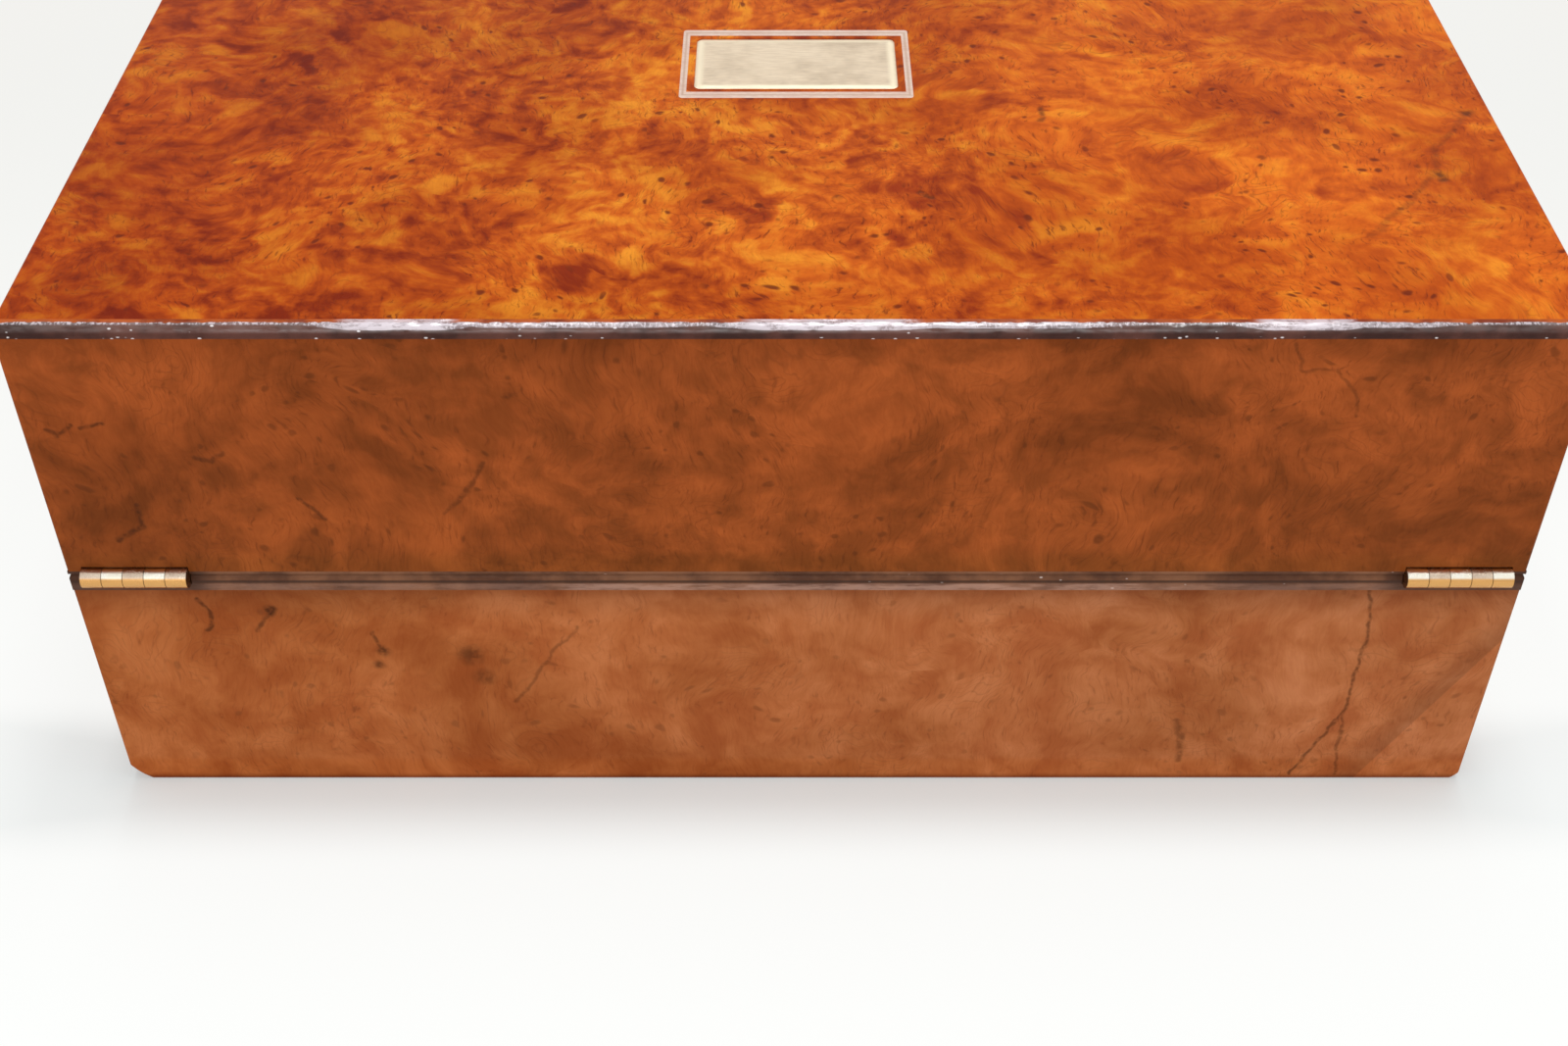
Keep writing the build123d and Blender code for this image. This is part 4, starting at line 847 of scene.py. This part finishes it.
def makeToolingTree():
    tree = bpy.data.node_groups.new("toolingTree", "GeometryNodeTree")
    kinds = {
        "Width": "Float", "Length": "Float", "Inset": "Float", "Gap": "Float", "Inner Inset": "Float",
        "Thick": "Float", "Thin": "Float", "Stamp Step": "Float", "Stamp Size": "Float",
        "Corner Size": "Float", "Depth": "Float", "Seed": "Int", "Gold": "Material",
    }
    sockets = {}
    for name, kind in kinds.items():
        made = tree.interface.new_socket(name, in_out="INPUT", socket_type="NodeSocket" + kind)
        sockets[name] = made.identifier
    tree.interface.new_socket("Geometry", in_out="OUTPUT", socket_type="NodeSocketGeometry")
    given = tree.nodes.new("NodeGroupInput").outputs

    def frameLine(inset):
        taken = times(tree, inset, 2.0)
        sides = {"Width": minus(tree, given["Width"], taken),
                 "Height": minus(tree, given["Length"], taken)}
        return put(tree, "GeometryNodeCurvePrimitiveQuadrilateral", sides).outputs[0]

    def ruled(inset, width):
        section = {"Width": width, "Height": given["Depth"]}
        section = put(tree, "GeometryNodeCurvePrimitiveQuadrilateral", section).outputs[0]
        run = {"Curve": frameLine(inset), "Profile Curve": section}
        return put(tree, "GeometryNodeCurveToMesh", run).outputs[0]

    def stamp(points, inner, outer):
        star = {"Points": points, "Inner Radius": inner, "Outer Radius": outer}
        star = put(tree, "GeometryNodeCurveStar", star)
        flat = put(tree, "GeometryNodeFillCurve", {"Curve": star.outputs[0]}, mode="NGONS")
        raised = put(tree, "GeometryNodeExtrudeMesh", {
            "Mesh": flat.outputs[0], "Offset Scale": given["Depth"], "Individual": False})
        under = put(tree, "GeometryNodeFlipFaces", {"Mesh": flat.outputs[0]})
        return joined([raised.outputs[0], under.outputs[0]], merged=True)

    def joined(pieces, merged=False):
        made = tree.nodes.new("GeometryNodeJoinGeometry")
        for piece in pieces:
            tree.links.new(piece, made.inputs[0])
        if merged:
            given = {"Geometry": made.outputs[0], "Distance": 1e-6}
            made = put(tree, "GeometryNodeMergeByDistance", given)
        return made.outputs[0]

    def strewn(curve, piece, salt, size):
        turn = put(tree, "FunctionNodeRandomValue", {
            2: 0.0, 3: 0.5, "Seed": reckon(tree, "ADD", given["Seed"], salt)}).outputs[1]
        grow = put(tree, "FunctionNodeRandomValue", {
            2: 0.88, 3: 1.08, "Seed": reckon(tree, "ADD", given["Seed"], salt + 1)}).outputs[1]
        spin = put(tree, "ShaderNodeCombineXYZ", {2: turn}).outputs[0]
        return put(tree, "GeometryNodeInstanceOnPoints", {
            "Points": curve, "Instance": piece, "Rotation": spin,
            "Scale": times(tree, grow, size)}).outputs[0]

    between = reckon(tree, "MULTIPLY_ADD", given["Gap"], 0.5, given["Inset"])
    dotted = {"Curve": frameLine(between), "Length": given["Stamp Step"]}
    dotted = put(tree, "GeometryNodeResampleCurve", dotted, mode="LENGTH").outputs[0]
    half = times(tree, given["Stamp Size"], 0.5)
    flower = stamp(6, times(tree, half, 0.42), half)
    full = times(tree, given["Corner Size"], 0.5)
    rosette = stamp(8, times(tree, full, 0.55), full)
    innerEdge = reckon(tree, "ADD", given["Inset"], given["Gap"])
    everything = joined([
        ruled(given["Inset"], given["Thick"]),
        ruled(innerEdge, given["Thin"]),
        ruled(given["Inner Inset"], given["Thin"]),
        strewn(dotted, flower, 3, 1.0),
        strewn(frameLine(between), rosette, 7, 1.0),
        strewn(frameLine(given["Inner Inset"]), rosette, 11, 1.3),
    ])
    real = put(tree, "GeometryNodeRealizeInstances", {"Geometry": everything}).outputs[0]
    painted = put(tree, "GeometryNodeSetMaterial", {"Geometry": real, "Material": given["Gold"]})
    put(tree, "NodeGroupOutput", {"Geometry": painted.outputs[0]})
    return tree, sockets


def makeTooling(name, tree, sockets):
    body, halfWidth, front, back, side = writingSheets[name]
    stretched = math.hypot(1, seamRise)
    tilt = math.atan(seamRise)
    start = newObject(name, bpy.data.meshes.new(name))
    modifier = start.modifiers.new("tooling", "NODES")
    modifier.node_group = tree
    values = {"Width": halfWidth * 2, "Length": (back - front) * stretched}
    values.update({"Seed": toolingSeed, "Gold": gilt})
    values.update((label, size / 1000) for label, size in toolingLook.items())
    for label, value in values.items():
        modifier[sockets[label]] = value
    bpy.context.view_layer.update()
    mesh = bpy.data.meshes.new_from_object(start.evaluated_get(bpy.context.evaluated_depsgraph_get()))
    start.modifiers.clear()
    # from the sheet's own plane on to its face, which follows the slanted seam; the lid's looks down
    middle = ((front + back) / 2 - casePlace["hingeY"]) * stretched
    face = Matrix.Translation((0, casePlace["hingeY"], casePlace["hingeZ"]))
    face = face @ Matrix.Rotation(-tilt, 4, "X")
    turned = Matrix.Rotation(math.pi if side > 0 else 0.0, 4, "Y")
    mesh.transform(face @ Matrix.Translation((0, middle, side * sheetFace)) @ turned)
    start.data = mesh
    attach(start, body)
    return len(mesh.polygons)


toolingTree, toolingSockets = makeToolingTree()
for sheetName in writingSheets:
    print(sheetName, "has", makeTooling(sheetName, toolingTree, toolingSockets), "faces")


# The top's two ebonised mouldings, worn uneven and nicked inside their own outline

mouldingLook = {
    "half": 175.0,            # half their length, millimetres
    "outer": 119.2,           # outer edge, from the middle
    "bottom": 142.5,
    "width": 3.2,
    "thick": 3.0,
    "radius": 2.7,
    "step": 0.9,
    "arcSteps": 10,
    "uneven": 0.1,
    "ripple": 0.05,
    "nicks": 150,             # on each strip
    "nickDepth": (0.08, 0.42),
    "nickLength": (0.5, 2.2),
    "nickWide": 0.16,         # as a share of the quarter round
    "nickHigh": 0.18,         # half of them lie in this share of it, at the upper arris
    "seed": 12,
}


def mouldingSection():
    # its outline as distance out, height and whether it wears, and the middle of its quarter round
    look = mouldingLook
    radius, bottom = look["radius"], look["bottom"]
    top = bottom + look["thick"]
    centre = (-radius, top - radius)
    section = [(-look["width"], bottom, False), (-look["width"], top, False)]
    for step in range(look["arcSteps"] + 1):
        turn = math.radians(90 - 90 * step / look["arcSteps"])
        section.append((centre[0] + radius * math.cos(turn), centre[1] + radius * math.sin(turn), True))
    return section + [(0.0, bottom, False)], centre


def strewNicks(dice, count):
    # for each step along the strip, the nicks in reach: how far off, at which turn and how deep
    look = mouldingLook
    nicks = {}
    for _ in range(look["nicks"]):
        at = dice.randrange(count + 1)
        spread = dice.uniform(*look["nickLength"])
        turn = dice.choice([dice.uniform(0, 1), dice.uniform(0, look["nickHigh"])])
        depth = dice.uniform(*look["nickDepth"])
        reach = math.ceil(spread / look["step"])
        for near in range(-reach, reach + 1):
            nicks.setdefault(at + near, []).append((near * look["step"] / spread, turn, depth))
    return nicks


def wearDepth(here, turn, nicks):
    look = mouldingLook
    wave = noiseTools.noise(here * 0.11) + 0.5 * noiseTools.noise(here * 0.5)
    depth = look["uneven"] * abs(wave) + look["ripple"] * abs(noiseTools.noise(here * 1.3))
    for gap, at, deep in nicks:
        far = gap ** 2 + ((turn - at) / look["nickWide"]) ** 2
        depth = max(depth, deep * math.exp(-2.5 * far))
    return depth


def layStrip(side, dice, points, faces):
    look = mouldingLook
    section, centre = mouldingSection()
    rows, first = len(section), len(points)
    count = round(2 * look["half"] / look["step"])
    nicks = strewNicks(dice, count)
    for index in range(count + 1):
        along = look["half"] * (2 * index / count - 1)
        for row, (out, height, wears) in enumerate(section):
            if wears:
                here = Vector((along, side * (look["outer"] + out), height))
                depth = wearDepth(here, (row - 2) / look["arcSteps"], nicks.get(index, ()))
                out = centre[0] + (out - centre[0]) * (1 - depth / look["radius"])
                height = centre[1] + (height - centre[1]) * (1 - depth / look["radius"])
            points.append((along / 1000, side * (look["outer"] + out) / 1000, height / 1000))
    for index in range(count):
        near, far = first + index * rows, first + (index + 1) * rows
        for row in range(rows):
            beside = (row + 1) % rows
            faces.append((near + row, near + beside, far + beside, far + row))
    faces.append(tuple(range(first, first + rows)))
    faces.append(tuple(range(first + count * rows, first + (count + 1) * rows)))


def makeMoulding():
    dice = random.Random(mouldingLook["seed"])
    points, faces = [], []
    for side in (1, -1):
        layStrip(side, dice, points, faces)
    mesh = bpy.data.meshes.new("worn_top_moulding")
    mesh.from_pydata(points, [], faces)
    shape = bmesh.new()
    shape.from_mesh(mesh)
    bmesh.ops.recalc_face_normals(shape, faces=shape.faces)
    shape.to_mesh(mesh)
    shape.free()
    mesh.polygons.foreach_set("use_smooth", [True] * len(mesh.polygons))
    mesh.set_sharp_from_angle(angle=math.radians(40))
    mesh.materials.append(mouldingBlack)
    moulding = newObject("worn_top_moulding", mesh)
    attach(moulding, "lid")
    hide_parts("top_moulding")
    return len(faces)


print("worn mouldings have", makeMoulding(), "faces")


# Camera, floor and light

cameraPlace = {
    "lens": 45.02,
    "sensor": 36.0,
    "nearest": 0.01,
    "position": (0.0031, 0.4663, 0.3912),
    "pitchDown": 40.98,
}


def makeCamera():
    view = bpy.data.cameras.new("camera")
    view.lens = cameraPlace["lens"]
    view.sensor_width = cameraPlace["sensor"]
    view.clip_start = cameraPlace["nearest"]
    holder = newObject("camera", view)
    holder.location = cameraPlace["position"]
    holder.rotation_euler = (math.radians(90 - cameraPlace["pitchDown"]), 0, math.pi)
    bpy.context.scene.camera = holder


floorLook = {
    "size": 12.0,             # metres from the middle to each edge
    "shade": rgb(226, 225, 222),
    "near": rgb(244, 254, 255),
    "shown": rgb(247, 246, 243),
    "shownFrom": 0.7,         # metres from the middle
    "shownTo": 1.6,
    "behind": rgb(244, 242, 238),
    "before": rgb(258, 258, 256),
    "slope": (-0.28, 0.155),  # along Y, from behind to before
    "boxHalf": (0.175, 0.119, 0.0),
    "contact": 0.012,         # metres over which the shadow stays whole all round the box
    "bandFrom": 0.003,        # and its wider band in line with the back and the front
    "bandTo": 0.03,
    "bandEnd": (0.14, 0.27),  # and how far from the middle that band fades out
    "least": 0.37,            # how much of the shadow is taken off at the box's foot
    "lift": 0.82,             # and beside it
    "clearFrom": 0.36,        # metres from the middle, where the rest of it fades out
    "clearTo": 0.6,
}


def makeFloor():
    size = floorLook["size"]
    mesh = bpy.data.meshes.new("floor")
    corners = [(-size, -size, 0), (size, -size, 0), (size, size, 0), (-size, size, 0)]
    mesh.from_pydata(corners, [], [(0, 1, 2, 3)])
    floor = newObject("floor", mesh)
    floor.data.materials.append(makeFloorPaint())


def seenDirectly(tree):
    rays = put(tree, "ShaderNodeLightPath").outputs
    seen = reckon(tree, "MAXIMUM", rays["Is Camera Ray"], rays["Is Glossy Ray"])
    return reckon(tree, "MAXIMUM", seen, rays["Is Transmission Ray"])


def makeFloorPaint():
    look = floorLook
    paint, tree = emptyMaterial("floorPaint")
    seen = seenDirectly(tree)
    place = put(tree, "ShaderNodeTexCoord").outputs["Object"]
    away = measured(tree, "LENGTH", place)
    around = move(tree, "ABSOLUTE", place)
    outside = move(tree, "MAXIMUM", move(tree, "SUBTRACT", around, look["boxHalf"]))
    clear = stretch(tree, measured(tree, "LENGTH", outside), 0.0, look["contact"])
    aside = axes(tree, around)
    inLine = reckon(tree, "ABSOLUTE", minus(tree, aside[1], look["boxHalf"][1]))
    band = stretch(tree, inLine, look["bandFrom"], look["bandTo"])
    band = reckon(tree, "MAXIMUM", band, stretch(tree, aside[0], *look["bandEnd"]))
    lifted = stretch(tree, away, look["clearFrom"], look["clearTo"], look["lift"], 1.0)
    clear = reckon(tree, "MULTIPLY_ADD", times(tree, clear, band), 1 - look["least"], look["least"])
    clear = times(tree, clear, lifted)
    matt = put(tree, "ShaderNodeBsdfDiffuse", {"Color": tinted(tree, seen, look["shade"], look["near"])})
    slope = stretch(tree, axes(tree, place)[1], *look["slope"])
    slope = tinted(tree, slope, look["behind"], look["before"])
    slope = tinted(tree, stretch(tree, away, look["shownFrom"], look["shownTo"]), slope, look["shown"])
    glow = put(tree, "ShaderNodeEmission", {"Color": slope, "Strength": 1.0})
    mixed = put(tree, "ShaderNodeMixShader",
                {0: times(tree, seen, clear), 1: matt.outputs[0], 2: glow.outputs[0]})
    put(tree, "ShaderNodeOutputMaterial", {"Surface": mixed.outputs[0]})
    return paint


studioLight = {
    "sky": 0.5,
    "strength": 0.55,         # share of the light on the box's top that comes from the lamps
    "boxTop": 0.145,
    "height": 1.3,
    "depthPlace": -0.16,
    "depth": 0.8,
    "lamps": [(0.201, 0.112), (-0.115, 0.236), (-0.388, 0.071)],   # middle and width along X
    "fill": 0.16,             # light that the upright back gets from behind the camera
    "fillPlace": (0.1, 1.7, 0.9),
    "fillAim": (0, 0.119, 0.07),
    "fillSize": 1.1,
}


def makeLamps():
    # long soft boxes over the object, sized so that together they give the wanted share of light
    look = studioLight
    drop = look["height"] - look["boxTop"]
    reached = 0
    for middle, width in look["lamps"]:
        span = drop ** 2 + middle ** 2 + look["depthPlace"] ** 2
        reached += width * look["depth"] * drop ** 4 / span ** 2
    radiance = look["strength"] * math.pi / (reached / drop ** 2)
    for number, (middle, width) in enumerate(look["lamps"]):
        lamp = bpy.data.lights.new("softBox%d" % (number + 1), "AREA")
        lamp.shape = "RECTANGLE"
        lamp.size = width
        lamp.size_y = look["depth"]
        lamp.energy = radiance * math.pi * width * look["depth"]
        newObject(lamp.name, lamp).location = (middle, look["depthPlace"], look["height"])
    makeFill()


def makeFill():
    look = studioLight
    reach = Vector(look["fillPlace"]) - Vector(look["fillAim"])
    lamp = bpy.data.lights.new("fill", "AREA")
    lamp.shape = "SQUARE"
    lamp.size = look["fillSize"]
    lamp.energy = look["fill"] * math.pi ** 2 * reach.length ** 3 / reach.y
    holder = newObject("fill", lamp)
    holder.location = look["fillPlace"]
    holder.rotation_euler = reach.to_track_quat("Z", "Y").to_euler()


def makeWorld():
    world = bpy.data.worlds.new("room")
    bpy.context.scene.world = world
    world.use_nodes = True
    tree = world.node_tree
    tree.nodes.clear()
    sky = put(tree, "ShaderNodeBackground", {"Color": (1, 1, 1, 1), "Strength": studioLight["sky"]})
    shown = put(tree, "ShaderNodeBackground", {"Color": floorLook["shown"], "Strength": 1.0})
    mixed = put(tree, "ShaderNodeMixShader",
                {0: seenDirectly(tree), 1: sky.outputs[0], 2: shown.outputs[0]})
    put(tree, "ShaderNodeOutputWorld", {"Surface": mixed.outputs[0]})


makeCamera()
makeFloor()
makeLamps()
makeWorld()
bpy.context.scene.view_settings.view_transform = "Standard"
print("camera, floor and light are set")
